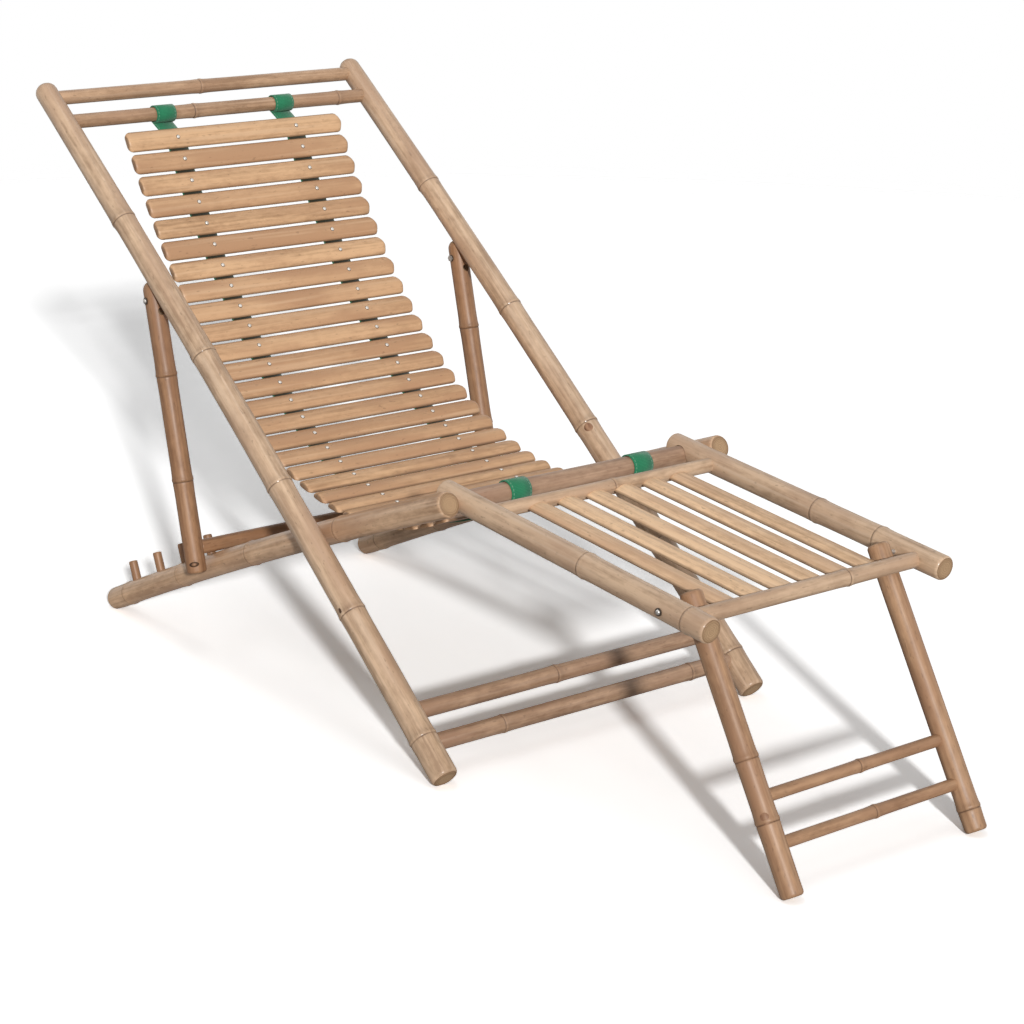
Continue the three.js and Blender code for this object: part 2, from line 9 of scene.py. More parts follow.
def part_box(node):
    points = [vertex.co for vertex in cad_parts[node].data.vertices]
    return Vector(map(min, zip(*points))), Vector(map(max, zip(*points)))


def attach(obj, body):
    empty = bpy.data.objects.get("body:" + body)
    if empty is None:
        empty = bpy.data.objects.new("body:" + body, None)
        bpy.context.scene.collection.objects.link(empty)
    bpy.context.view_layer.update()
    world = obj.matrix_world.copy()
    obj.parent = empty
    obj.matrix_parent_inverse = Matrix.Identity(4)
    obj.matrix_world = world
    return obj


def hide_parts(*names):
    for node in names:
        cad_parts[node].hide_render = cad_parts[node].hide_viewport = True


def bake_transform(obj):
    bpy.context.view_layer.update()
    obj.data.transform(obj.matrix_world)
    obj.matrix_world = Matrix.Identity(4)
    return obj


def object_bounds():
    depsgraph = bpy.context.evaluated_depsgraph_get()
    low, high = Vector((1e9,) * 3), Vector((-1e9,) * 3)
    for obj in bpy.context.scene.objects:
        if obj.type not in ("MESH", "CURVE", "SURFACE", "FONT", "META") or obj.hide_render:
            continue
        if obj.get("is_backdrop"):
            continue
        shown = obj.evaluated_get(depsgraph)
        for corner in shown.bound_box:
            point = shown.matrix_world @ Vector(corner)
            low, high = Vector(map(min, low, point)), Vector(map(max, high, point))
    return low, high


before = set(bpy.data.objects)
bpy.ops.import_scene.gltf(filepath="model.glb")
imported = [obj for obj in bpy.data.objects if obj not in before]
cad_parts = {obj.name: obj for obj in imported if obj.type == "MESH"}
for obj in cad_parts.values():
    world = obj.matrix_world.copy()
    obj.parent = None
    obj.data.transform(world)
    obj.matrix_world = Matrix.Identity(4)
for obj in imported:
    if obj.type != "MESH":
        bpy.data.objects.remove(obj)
CAD_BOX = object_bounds()

bl_info = {
    "name": "Bamboo Recliner",
    "version": (1, 0, 0),
    "blender": (4, 5, 0),
    "location": "View3D > Sidebar > Recliner",
    "description": "Builds the bamboo poles, slats, straps and fittings of a folding recliner",
    "category": "Add Mesh",
}

MM = 0.001
SIDES = {"left": 1, "right": -1}

# The poles in the side view: CAD node, x and z of the lower end, direction, length, bow, radii at both ends
BACK_POLE = {"node": "back_pole", "foot": (0.2370, 0.0111), "angle": 141.65, "length": 1.252,
             "bow": -0.010, "radii": (0.019, 0.0165)}
SEAT_POLE = {"node": "seat_pole", "foot": (-0.6384, 0.0126), "angle": 22.92, "length": 0.900,
             "bow": 0.009, "radii": (0.017, 0.0175)}
PROP = {"node": "prop", "foot": (-0.3470, 0.1376), "angle": 104.47, "length": 0.4222,
        "bow": 0.0, "radii": (0.0145, 0.0145)}
REST_POLE = {"node": "rest_pole", "foot": (0.1342, 0.3614), "angle": -5.73, "length": 0.509,
             "bow": 0.0, "radii": (0.0165, 0.0165)}
LEG = {"node": "leg", "foot": (0.7541, 0.0043), "angle": 120.77, "length": 0.380,
       "bow": 0.0, "radii": (0.0145, 0.0145)}
BACK_SIDE, SEAT_SIDE, REST_SIDE, LEG_SIDE = 0.275, 0.237, 0.201, 0.161

# Where the knots lie along each pole, as shares of its length
BACK_KNOTS = (0.05, 0.212, 0.385, 0.572, 0.78)
SEAT_KNOTS = (0.06, 0.245, 0.467, 0.725)
PROP_KNOTS = (0.32, 0.68)
REST_KNOTS = {"left": (0.56, 0.78), "right": (0.56, 0.93)}
LEG_KNOTS = {"left": (0.08,), "right": (0.245, 0.45)}

# Channels in the back poles: share of the knot, direction in degrees and reach
BACK_CHANNELS = ((0.572, -40, -0.17), (0.78, 40, -0.12), (0.385, 15, -0.15), (0.212, -60, -0.13))

# Bud scars: share of the knot, how far below it as a share, direction in degrees, size and finish
OVAL_BUD = (0.0065, 0.0029)
ROUND_BUD = (0.0075, 0.0068)
BACK_BUDS = {"left": ((0.385, 0.012, -50, ROUND_BUD, "healed_bamboo"),),
             "right": ((0.572, 0, 34, OVAL_BUD, "bud_bamboo"), (0.212, 0, -10, OVAL_BUD, "bud_bamboo"))}

# How round the ends are, as shares of the radius
FLAT_ENDS = (0.3, 0.3)
BACK_ENDS = (0.3, 0.8)
PROP_ENDS = (0.3, 0.85)
LEG_ENDS = (0.3, 0.4)

UPPER_SLING_RAIL_RADIUS = 0.0105
FRONT_RAIL_RADIUS = 0.014
TONGUE_HALF_THICKNESS = 0.004
TONGUE_HALF_WIDTH = 0.012
TONGUE_ROOT = 0.004
HOOK_RADIUS = 0.0147

# How far a cutter reaches on both sides of a pole's axis
CUT_REACH = 0.03
THROUGH = (-CUT_REACH, CUT_REACH)

# The cuts in a prop's head: where the fork and its round hole end behind the bolt, the hole's radius, and the
# radius and clearance of the back pole above, with the size of the bevel that makes room for it
FORK_END, FORK_HOLE_END, FORK_HOLE_RADIUS = 0.016, 0.017, 0.0056
BACK_RADIUS_AT_PROP = 0.0173
PROP_CLEARANCE = 0.0009
BEVEL_HALF_LENGTH = 0.09
BEVEL_DEPTH = 0.15

# Length, width and thickness
SLAT_SIZE = (0.386, 0.0315, 0.0085)
REST_SLAT_SIZE = (0.369, 0.036, 0.008)
# The dark strips across the footrest slats' ends are painted shade where the slats meet the rails
SHADE_STRIP_SIZE = (0.003, 0.0378, 0.0095)
SLAT_CORNER = 0.009
SHADE_STRIP_PLACE = 0.1787

SLAT_COUNT = 28
SLATS_PER_LENGTH = 4
OPEN_AFTER = 16
REST_SLAT_COUNT = 6
STRAP_SIDE = 0.107
STRAP_WIDTH = 0.034
STRAP_THICKNESS = 0.002
STRAP_PITCH = 0.006
LOOP_TURN = math.radians(285)
PEG_COUNT = 4
PEG_PITCH = 0.076
FOREMOST_PEG = 0.305
PEG_REACH = 0.0455
PEG_RADII = (0.0068, 0.0066)


class PoleLine:
    """A pole's axis from start to end. It can bow towards `up`, and knows each point's place along it."""

    def __init__(self, start, end, up, bow=0.0):
        self.start = Vector(start)
        self.end = Vector(end)
        self.length = (self.end - self.start).length
        self.along = (self.end - self.start).normalized()
        self.up = Vector(up).normalized()
        self.side = self.along.cross(self.up)
        self.bow = bow

    def rise(self, station):
        share = min(max(station / self.length, 0.0), 1.0)
        return 4 * self.bow * share * (1 - share)

    def at(self, station, side=0.0, lift=0.0):
        out = self.start + self.along * station + self.side * side
        return out + self.up * (self.rise(station) + lift)

    def local(self, place):
        """Station, sideways offset and lift of a point."""
        away = place - self.start
        station = away.dot(self.along)
        return Vector((station, away.dot(self.side), away.dot(self.up) - self.rise(station)))


def side_way(turn):
    """The direction at an angle in the side view."""
    return Vector((math.cos(turn), 0, math.sin(turn)))


def side_line(shape, side):
    """The line of a pole that lies in the side view, at a distance from the chair's middle."""
    along = side_way(math.radians(shape["angle"]))
    start = Vector((shape["foot"][0], side, shape["foot"][1]))
    up = Vector((-along.z, 0, along.x))
    return PoleLine(start, start + along * shape["length"], up, shape["bow"])


def box_middle(node):
    low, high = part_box(node)
    return (low + high) / 2


def cross_line(node, half_width):
    """The line of a rail across the chair, at the middle of its CAD node."""
    middle = box_middle(node)
    start = Vector((middle.x, -half_width, middle.z))
    return PoleLine(start, Vector((middle.x, half_width, middle.z)), (0, 0, 1))


# Meshes

def new_object(name, vertices, faces, materials, marks=None):
    mesh = bpy.data.meshes.new(name)
    mesh.from_pydata([tuple(v) for v in vertices], [], faces)
    for material in materials:
        mesh.materials.append(material)
    if marks:
        mesh.polygons.foreach_set("material_index", marks)
    mesh.update()
    piece = bpy.data.objects.new(name, mesh)
    bpy.context.scene.collection.objects.link(piece)
    return piece


def smooth(piece, angle=38.0):
    piece.data.polygons.foreach_set("use_smooth", [True] * len(piece.data.polygons))
    piece.data.set_sharp_from_angle(angle=math.radians(angle))


def skin_rings(rings):
    """Vertices and faces of a tube through rings of equal length, each end closed by a fan."""
    vertices = [v for ring in rings for v in ring]
    count = len(rings[0])
    faces = []
    for i in range(len(rings) - 1):
        for j in range(count):
            k = (j + 1) % count
            faces.append((i * count + j, i * count + k, (i + 1) * count + k, (i + 1) * count + j))
    for ring, base, flip in ((rings[0], 0, True), (rings[-1], (len(rings) - 1) * count, False)):
        vertices.append(sum(ring, Vector()) / count)
        centre = len(vertices) - 1
        for j in range(count):
            k = (j + 1) % count
            faces.append((base + k, base + j, centre) if flip else (base + j, base + k, centre))
    return vertices, faces


KNOT_OFFSETS = (-14, -9, -6, -4, -3, -2.2, -1.4, -0.6, 0.4, 1.4, 2.4, 3.6, 5.5, 9, 14)


def knot_height(offset):
    """How far a knot stands out at an offset along the pole: a scar groove, a ridge and a soft swelling."""
    groove = -0.5 * MM * math.exp(-((offset + 2.2 * MM) / (0.9 * MM)) ** 2)
    ridge = 0.6 * MM * math.exp(-((offset - 1.2 * MM) / (2.4 * MM)) ** 2)
    swelling = 0.6 * MM * math.exp(-((offset / (11 * MM)) ** 2))
    return groove + ridge + swelling


def knot_mark(offset):
    scar = math.exp(-((offset + 2.2 * MM) / (0.8 * MM)) ** 2)
    band = 0.16 * math.exp(-((offset - 3 * MM) / (5 * MM)) ** 2)
    return min(1.0, scar + band)


def groove_depth(spot, turn, grooves):
    """How deep, from 0 to 1, a place lies in the shallow channels that run from some knots along the culm."""
    deepest = 0.0
    for knot, middle, reach in grooves:
        share = (spot - knot) / reach
        if 0.0 < share < 1.0:
            away = math.remainder(turn - math.radians(middle), 2 * math.pi)
            fade = min(1.0, share * 12) * (1 - share) ** 0.5
            deepest = max(deepest, math.exp(-((away / 0.26) ** 2)) * fade)
    return deepest


def culm_stations(length, knots, rounding, pitch):
    """Where a culm gets its rings: evenly, closely round each knot, and at its rounded ends."""
    steps = max(2, round(length / pitch))
    stations = {round(length * i / steps, 5) for i in range(1, steps)}
    for knot in knots:
        stations.update(round(knot + offset * MM, 5) for offset in KNOT_OFFSETS)
    return sorted(s for s in stations if rounding * 1.05 < s < length - rounding * 1.05)


def culm_mesh(name, line, radii, knots, materials, seed, sides=36, pitch=0.022, end_rounding=FLAT_ENDS,
              grooves=()):
    """A bamboo culm: a slightly uneven round wall, knots, channels, rounded rims and dished ends."""
    length = line.length
    knots = [share * length for share in knots]
    phase = Vector((seed * 3.7, seed * 1.9, seed * 5.3))

    def radius_at(station):
        radius = radii[0] + (radii[1] - radii[0]) * station / length
        return radius + sum(knot_height(station - knot) for knot in knots)

    def ring(station, radius, wobble=1.0):
        out = []
        for j in range(sides):
            turn = 2 * math.pi * j / sides
            wall = Vector((station * 9, math.cos(turn) * 0.8, math.sin(turn) * 0.8)) + phase
            uneven = 1 + 0.016 * wobble * noise.noise(wall)
            wide = radius * uneven - 0.9 * MM * groove_depth(station, turn, grooves)
            out.append(line.at(station, math.cos(turn) * wide, math.sin(turn) * wide))
        return out

    def rim(station, radius, way, rounding):
        """Rings of one end, from its middle out and round the rim."""
        flat = radius - rounding
        rings = [ring(station + way * 0.04 * flat, flat * share, 0.2) for share in (0.4, 0.72)]
        rings.append(ring(station, flat, 0.5))
        for i in range(1, 5):
            turn = math.pi / 2 * i / 5
            inset = rounding * (1 - math.sin(turn))
            rings.append(ring(station + way * rounding * (1 - math.cos(turn)), radius - inset))
        return rings

    first, last = (radius * share for radius, share in zip(radii, end_rounding))
    middle = culm_stations(length, knots, max(first, last), pitch)
    rings = rim(0, radii[0], 1, first)
    rings += [ring(station, radius_at(station)) for station in (first, *middle, length - last)]
    rings += reversed(rim(length, radii[1], -1, last))
    return new_object(name, *skin_rings(rings), materials)


def boolean(piece, cutter):
    """Cuts one mesh out of another and deletes the cutter."""
    modifier = piece.modifiers.new("cut", "BOOLEAN")
    modifier.operation = "DIFFERENCE"
    modifier.solver = "EXACT"
    modifier.object = cutter
    bpy.context.view_layer.update()
    graph = bpy.context.evaluated_depsgraph_get()
    mesh = bpy.data.meshes.new_from_object(piece.evaluated_get(graph))
    piece.modifiers.clear()
    piece.data = mesh
    bpy.data.objects.remove(cutter)


def set_values(piece, name, kind, values):
    attribute = piece.data.attributes.new(name, kind, "POINT")
    field = "vector" if kind == "FLOAT_VECTOR" else "value"
    flat = [part for value in values for part in value] if field == "vector" else values
    attribute.data.foreach_set(field, flat)


def grain(piece, line, knots, tone, seed, radii=None, grooves=()):
    """Gives a bamboo mesh the values its material reads, and the cut material where it is cut through."""
    places = [line.local(v.co) for v in piece.data.vertices]
    shift = Vector((seed * 0.737, 0, 0))
    set_values(piece, "grain", "FLOAT_VECTOR", [p + shift for p in places])
    stations = [share * line.length for share in knots]
    marks = [min(1.0, sum(knot_mark(p.x - s) for s in stations)) for p in places]
    set_values(piece, "knot", "FLOAT", marks)
    set_values(piece, "tone", "FLOAT", [tone] * len(places))
    depths = [groove_depth(p.x, math.atan2(p.z, p.y), grooves) for p in places]
    set_values(piece, "channel", "FLOAT", depths)
    if radii:
        for face in piece.data.polygons:
            spot = line.local(face.center)
            radius = radii[0] + (radii[1] - radii[0]) * min(max(spot.x / line.length, 0), 1)
            if Vector((spot.y, spot.z)).length < radius * 0.86:
                face.material_index = 1


def stand_on_floor(piece):
    for vertex in piece.data.vertices:
        vertex.co.z = max(vertex.co.z, 0.0)


def place(piece, body, slot, *nodes):
    """Puts a piece on its body, in place of the CAD nodes named. The slot is not used."""
    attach(piece, body)
    if nodes:
        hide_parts(*nodes)


def bamboo_piece(name, line, radii, knots, finish, seed, tone, cutters=(), channels=(), **shape):
    """A finished culm: mesh, cuts, floor trim, material values and shading. Finish is its skin's material."""
    grooves = [(share * line.length, turn, reach) for share, turn, reach in channels]
    piece = culm_mesh(name, line, radii, knots, [material(finish), material("cut_bamboo")], seed,
                      grooves=grooves, **shape)
    for cutter in cutters:
        boolean(piece, cutter)
    stand_on_floor(piece)
    grain(piece, line, knots, tone, seed, radii, grooves)
    smooth(piece)
    return piece


def side_pole(name, word, line, shape, knots, finish, seed, tone, body, slot, **more):
    """A pole on one side of the chair, in place of its CAD node."""
    seed += SIDES[word]
    pole = bamboo_piece(f"{name}_{word}", line, shape["radii"], knots, finish, seed, tone, **more)
    place(pole, body, slot, f"{shape['node']}_{word}")


def cross_piece(name, node, half_width, radius, knots, finish, seed, tone, body, slot, sides=28, pitch=0.03,
                channels=()):
    """A rail or bar across the chair, in place of its CAD node."""
    rail = bamboo_piece(name, cross_line(node, half_width), (radius, radius), knots, finish, seed, tone,
                        channels=channels, sides=sides, pitch=pitch)
    place(rail, body, slot, node)


def ringed_piece(name, rings, finish, line, tone, seed, angle=38.0, knots=()):
    """A closed piece through rings, with the values that a bamboo finish reads."""
    piece = new_object(name, *skin_rings(rings), [material(finish)])
    grain(piece, line, knots, tone, seed)
    smooth(piece, angle)
    return piece


def bud_scar(name, line, share, turn_degrees, radius, body, slot, size, finish):
    """The scar of a bud, low on the culm's wall beside a knot: a dark oval, or a wider round one."""
    turn = math.radians(turn_degrees)
    out = line.side * math.cos(turn) + line.up * math.sin(turn)
    spot = line.at(share * line.length + 4 * MM) + out * (radius + 0.2 * MM)
    round_way = line.along.cross(out)
    rings = []
    for reach, lift in ((1.0, -1.0), (1.0, 0.0), (0.72, 0.55), (0.4, 0.8)):
        turns = [2 * math.pi * j / 20 for j in range(20)]
        bend = [radius - math.sqrt(radius ** 2 - (math.sin(t) * size[1] * reach) ** 2) for t in turns]
        rings.append([spot + line.along * (math.cos(t) * size[0] * reach)
                      + round_way * (math.sin(t) * size[1] * reach) + out * (lift * MM - fall)
                      for t, fall in zip(turns, bend)])
    place(ringed_piece(name, rings, finish, line, 0.5, 7, 60), body, slot)


def cylinder_cutter(middle, radius, axis=(0, 1, 0), sides=48):
    profile = [(reach, radius) for reach in THROUGH]
    return new_object("cutter", *lathe(profile, middle, Vector(axis), sides), [])


def box_cutter(line, stations, sides, lifts):
    corners = [line.at(s, y, z) - line.up * line.rise(s) for s in stations for y in sides for z in lifts]
    faces = [(0, 1, 3, 2), (4, 6, 7, 5), (0, 4, 5, 1), (2, 3, 7, 6), (0, 2, 6, 4), (1, 5, 7, 3)]
    return new_object("cutter", corners, faces, [])


# Shader parts

class Tree:
    """Adds and links nodes in a node tree with short calls."""

    def __init__(self, tree):
        self.tree = tree

    def add(self, kind, settings=None, **inputs):
        made = self.tree.nodes.new(kind)
        for key, value in (settings or {}).items():
            setattr(made, key, value)
        for key, value in inputs.items():
            numbered = key[0] == "_" and key[1:].isdigit()
            self.feed(made.inputs[int(key[1:]) if numbered else key.replace("_", " ")], value)
        return made

    def feed(self, socket, value):
        """Links a socket to another node's output, or gives it a plain value."""
        if isinstance(value, bpy.types.NodeSocket):
            self.tree.links.new(value, socket)
        else:
            socket.default_value = value

    def math(self, operation, *values, clamp=False):
        inputs = {f"_{i}": value for i, value in enumerate(values)}
        return self.add("ShaderNodeMath", {"operation": operation, "use_clamp": clamp}, **inputs).outputs[0]

    def times(self, first, second):
        return self.math("MULTIPLY", first, second)

    def sway(self, value, middle, gain, base, clamp=False):
        """How far a value lies from its middle, times a gain, on top of a base."""
        return self.math("MULTIPLY_ADD", self.math("SUBTRACT", value, middle), gain, base, clamp=clamp)

    def wave(self, value, pitch):
        return self.math("SINE", self.times(value, 2 * math.pi / pitch))

    def scale(self, vector, factors):
        made = self.add("ShaderNodeVectorMath", {"operation": "MULTIPLY"}, _0=vector, _1=factors)
        return made.outputs[0]

    def noise(self, vector, factors, detail=2.0, roughness=0.5):
        made = self.add("ShaderNodeTexNoise", Vector=self.scale(vector, factors), Detail=detail,
                        Roughness=roughness, Scale=1.0)
        return made.outputs[0]

    def spread(self, value, low, high, out_low=0.0, out_high=1.0):
        made = self.add("ShaderNodeMapRange", {"clamp": True}, Value=value, From_Min=low, From_Max=high,
                        To_Min=out_low, To_Max=out_high)
        return made.outputs[0]

    def mix(self, factor, first, second):
        made = self.add("ShaderNodeMix", {"data_type": "RGBA"}, _0=factor, _6=first, _7=second)
        return made.outputs[2]

    def layer(self, colour, *layers):
        """A colour with others laid over it, each by its own mask."""
        for mask, over in layers:
            colour = self.mix(mask, colour, over)
        return colour

    def attribute(self, name):
        return self.add("ShaderNodeAttribute", {"attribute_name": name, "attribute_type": "GEOMETRY"})

    def give(self, sink, *values):
        """Feeds the colour, roughness and height that a finish's node group puts out."""
        for value, socket in zip(values, sink):
            self.feed(socket, value)


COLOUR, NUMBER = "NodeSocketColor", "NodeSocketFloat"
LOOK = {"Color": COLOUR, "Roughness": NUMBER, "Height": NUMBER}


def node_group(name, inputs):
    """A new shader node group with inputs from labels and default values, and its input and output nodes."""
    tree = bpy.data.node_groups.new(name, "ShaderNodeTree")
    for label, value in inputs.items():
        kind = COLOUR if isinstance(value, tuple) else NUMBER
        socket = tree.interface.new_socket(name=label, in_out="INPUT", socket_type=kind)
        socket.default_value = (*value, 1) if kind == COLOUR else value
    for label, kind in LOOK.items():
        tree.interface.new_socket(name=label, in_out="OUTPUT", socket_type=kind)
    build = Tree(tree)
    source = build.add("NodeGroupInput")
    sink = build.add("NodeGroupOutput")
    return build, source.outputs, sink.inputs


def bamboo_skin_group():
    """Outer skin of a culm: long streaks, blotches, flecks and dark scars at the knots."""
    build, source, sink = node_group("Bamboo Skin", {
        "Pale": (0.6, 0.4, 0.2), "Deep": (0.3, 0.17, 0.08), "Scar": (0.1, 0.05, 0.02),
        "Rosy": (0.45, 0.24, 0.13), "Bleached": (0.66, 0.52, 0.38), "Blotches": 0.5, "Gloss": 0.4})
    place_along = build.attribute("grain").outputs["Vector"]
    knot, tone, channel, edge, warmth = [
        build.attribute(name).outputs["Fac"] for name in ("knot", "tone", "channel", "edge", "warmth")]
    streak = build.noise(place_along, (5, 190, 190), detail=3)
    fibre = build.noise(place_along, (16, 1300, 1300), detail=2)
    blotch = build.noise(place_along, (11, 34, 34), detail=4, roughness=0.62)
    cloud = build.noise(place_along, (6, 26, 26), detail=3)
    mottle = build.noise(place_along, (55, 150, 150), detail=3, roughness=0.6)
    fleck = build.spread(build.noise(place_along, (95, 260, 260), detail=1), 0.68, 0.76)
    blend_value = build.sway(streak, 0.5, 1.9, tone)
    blotch_part = build.times(build.spread(blotch, 0.46, 0.68), source["Blotches"])
    blend_value = build.math("ADD", blend_value, blotch_part)
    blend_value = build.sway(mottle, 0.5, 1.3, blend_value)
    blend_value = build.sway(fibre, 0.5, 0.6, blend_value, clamp=True)
    rosy = build.math("ADD", build.spread(cloud, 0.46, 0.66, 0.0, 0.8), warmth, clamp=True)
    pale_streak = build.spread(build.noise(place_along, (3, 115, 115), detail=2), 0.56, 0.70, 0.0, 0.5)
    uneven = build.spread(build.noise(place_along, (40, 70, 70), detail=2), 0.30, 0.62, 0.40, 0.95)
    colour = build.layer(
        source["Pale"], (blend_value, source["Deep"]), (rosy, source["Rosy"]),
        (pale_streak, source["Bleached"]), (build.times(channel, 0.55), source["Bleached"]),
        (build.times(fleck, 0.30), source["Scar"]), (build.times(knot, uneven), source["Scar"]),
        (build.times(edge, 0.62), source["Scar"]))
    rough = build.sway(blotch, 0.45, 0.35, source["Gloss"])
    rough = build.math("MULTIPLY_ADD", knot, 0.25, rough, clamp=True)
    height = build.math("MULTIPLY_ADD", streak, 0.5, build.times(fibre, 0.5))
    build.give(sink, colour, rough, height)


def cut_bamboo_group():
    """A sawn end: rings of fibre bundles, darker to the rim."""
    build, source, sink = node_group("Cut Bamboo", {"Pale": (0.7, 0.55, 0.35), "Deep": (0.35, 0.2, 0.1)})
    place_along = build.attribute("grain").outputs["Vector"]
    parts = build.add("ShaderNodeSeparateXYZ", _0=place_along).outputs
    square = build.math("MULTIPLY_ADD", parts[1], parts[1], build.times(parts[2], parts[2]))
    radius = build.math("SQRT", square)
    warp = build.noise(place_along, (40, 180, 180), detail=2)
    rings = build.math("SINE", build.math("MULTIPLY_ADD", radius, 2600.0, build.times(warp, 9.0)))
    bundles = build.add("ShaderNodeTexVoronoi", Vector=build.scale(place_along, (30, 900, 900)), Scale=1.0)
    dots = build.spread(bundles.outputs["Distance"], 0.15, 0.45, 1.0, 0.0)
    shade = build.math("MULTIPLY_ADD", rings, 0.16, 0.22)
    shade = build.math("MULTIPLY_ADD", dots, 0.22, shade)
    shade = build.math("ADD", shade, build.spread(radius, 0.008, 0.017, 0.0, 0.5), clamp=True)
    colour = build.mix(shade, source["Pale"], source["Deep"])
    build.give(sink, colour, build.spread(warp, 0.3, 0.7, 0.55, 0.75), build.times(rings, 0.5))


RIB_PITCH = 1.9 * MM
THREAD_PITCH = 1.3 * MM
STITCH_PITCH = 5 * MM
STITCH_PLACE = 14.2 * MM
STITCH_HALF_WIDTH = 0.7 * MM


def webbing_group():
    """Woven strap: cross ribs, lengthwise threads, a row of stitches near each edge, and painted shade on its
    upper face under the slats.
    """
    build, source, sink = node_group("Webbing", {
        "Thread": (0.05, 0.35, 0.16), "Gap": (0.01, 0.1, 0.05), "Stitch": (0.4, 0.62, 0.45),
        "Stained": (0.025, 0.016, 0.008)})
    place_on = build.attribute("weave").outputs["Vector"]
    across, along, lift = build.add("ShaderNodeSeparateXYZ", _0=place_on).outputs
    rib = build.wave(along, RIB_PITCH)
    weave = build.times(rib, build.wave(across, THREAD_PITCH))
    cover = build.math("MULTIPLY_ADD", weave, 0.3, build.math("MULTIPLY_ADD", rib, 0.2, 0.6), clamp=True)
    fade = build.noise(place_on, (60, 22, 1), detail=3)
    edge = build.math("ABSOLUTE", across)
    near_edge = build.math("COMPARE", edge, STITCH_PLACE, STITCH_HALF_WIDTH)
    dash = build.math("GREATER_THAN", build.wave(along, STITCH_PITCH), -0.3)
    stitches = build.times(near_edge, dash)
    # Painted shade: the middle of the strap's upper face is painted near black where the slats lie on it,
    # leaving green edges
    top_face = build.spread(lift, 0.2 * MM, 0.5 * MM)
    slat_shade_mask = build.times(build.attribute("cover").outputs["Fac"], top_face)
    middle_part = build.spread(edge, 14.6 * MM, 16.2 * MM, 0.96, 0.35)
    colour = build.layer(
        source["Gap"], (cover, source["Thread"]), (build.spread(fade, 0.35, 0.75, 0.0, 0.4), source["Gap"]),
        (build.times(stitches, 0.28), source["Stitch"]),
        (build.times(slat_shade_mask, middle_part), source["Stained"]))
    build.give(sink, colour, build.spread(fade, 0.3, 0.7, 0.75, 0.9),
               build.math("ADD", cover, build.times(stitches, 0.6)))


def metal_group():
    """Turned metal: fine scratches, dull patches and a little grime."""
    build, source, sink = node_group("Worn Metal", {"Bright": (0.6, 0.6, 0.6), "Dull": (0.3, 0.3, 0.3)})
    place_on = build.add("ShaderNodeTexCoord").outputs["Object"]
    patch = build.noise(place_on, (420, 420, 420), detail=3)
    scratch = build.noise(place_on, (300, 4200, 4200), detail=2)
    colour = build.mix(build.spread(patch, 0.35, 0.7), source["Bright"], source["Dull"])
    build.give(sink, colour, build.spread(patch, 0.3, 0.7, 0.22, 0.5), scratch)


def finish_material(name, group, colours, principled, bump, depth=0.4 * MM):
    """A material whose colour, roughness and bump come from a group, with the rest set on its own shader."""
    made = bpy.data.materials.new(name)
    made.use_nodes = True
    made.node_tree.nodes.clear()
    build = Tree(made.node_tree)
    effect = build.add("ShaderNodeGroup", {"node_tree": bpy.data.node_groups[group]})
    for label, value in colours.items():
        effect.inputs[label].default_value = (*value, 1) if isinstance(value, tuple) else value
    shader = build.add("ShaderNodeBsdfPrincipled", Base_Color=effect.outputs["Color"])
    build.feed(shader.inputs["Roughness"], effect.outputs["Roughness"])
    for label, value in principled.items():
        shader.inputs[label].default_value = value
    relief = build.add("ShaderNodeBump", Strength=bump, Distance=depth, Height=effect.outputs["Height"])
    build.feed(shader.inputs["Normal"], relief.outputs["Normal"])
    build.add("ShaderNodeOutputMaterial", Surface=shader.outputs["BSDF"])


def material(name):
    return bpy.data.materials[name]


# What a user would change

def colour_property(label, text, value):
    return bpy.props.FloatVectorProperty(
        name=label, description=text, default=value, size=3, subtype="COLOR", min=0.0, max=1.0)


def number_property(label, text, value, low=0.0, **more):
    return bpy.props.FloatProperty(name=label, description=text, default=value, min=low, **more)


class BambooLook(bpy.types.PropertyGroup):
    pole: colour_property("Poles", "Main colour of the long poles' skin", (0.54, 0.375, 0.245))
    # Seat poles: a warmer tan than the long poles, and paler to make up for the shade the back frame casts on
    # them, so partly painted light
    seat: colour_property("Seat poles", "Main colour of the seat poles' skin", (0.60, 0.395, 0.245))
    rail: colour_property("Rails", "Main colour of the head rails", (0.48, 0.305, 0.185))
    foot: colour_property("Foot rails", "Main colour of the foot rails", (0.40, 0.255, 0.162))
    front: colour_property("Front rail", "Main colour of the rail across the front", (0.41, 0.265, 0.175))
    prop: colour_property("Props", "Main colour of the props and their bar", (0.31, 0.166, 0.085))
    leg: colour_property("Legs", "Main colour of the footrest's legs", (0.40, 0.235, 0.132))
    slat: colour_property("Slats", "Main colour of the sling slats", (0.56, 0.350, 0.196))
    rest: colour_property("Footrest slats", "Main colour of the footrest slats", (0.75, 0.505, 0.303))
    scar: colour_property("Scar", "Colour of the scars at the knots", (0.085, 0.042, 0.02))
    gloss: number_property("Roughness", "Roughness of the lacquer", 0.48, max=1.0, subtype="FACTOR")


class StrapLook(bpy.types.PropertyGroup):
    thread: colour_property("Thread", "Colour of the webbing's threads", (0.030, 0.30, 0.135))
    gap: colour_property("Gap", "Colour between the threads", (0.008, 0.085, 0.045))
    width: number_property("Width", "Width of each strap", STRAP_WIDTH, 0.02, max=0.05, unit="LENGTH")
    thickness: number_property(
        "Thickness", "Thickness of each strap", STRAP_THICKNESS, 0.001, max=0.004, unit="LENGTH")


class StageLook(bpy.types.PropertyGroup):
    floor: colour_property("Floor", "Colour of the floor", (0.93, 0.93, 0.93))
    key: number_property("Key", "Strength of the low main light", 2.7)
    top: number_property("Top", "Power of the soft lamp overhead", 12.0, unit="POWER")
    fill: number_property("Fill", "Strength of the light from all round", 0.235)
    lens: number_property("Lens", "Focal length of the camera", 93.94, 20.0, subtype="DISTANCE_CAMERA")


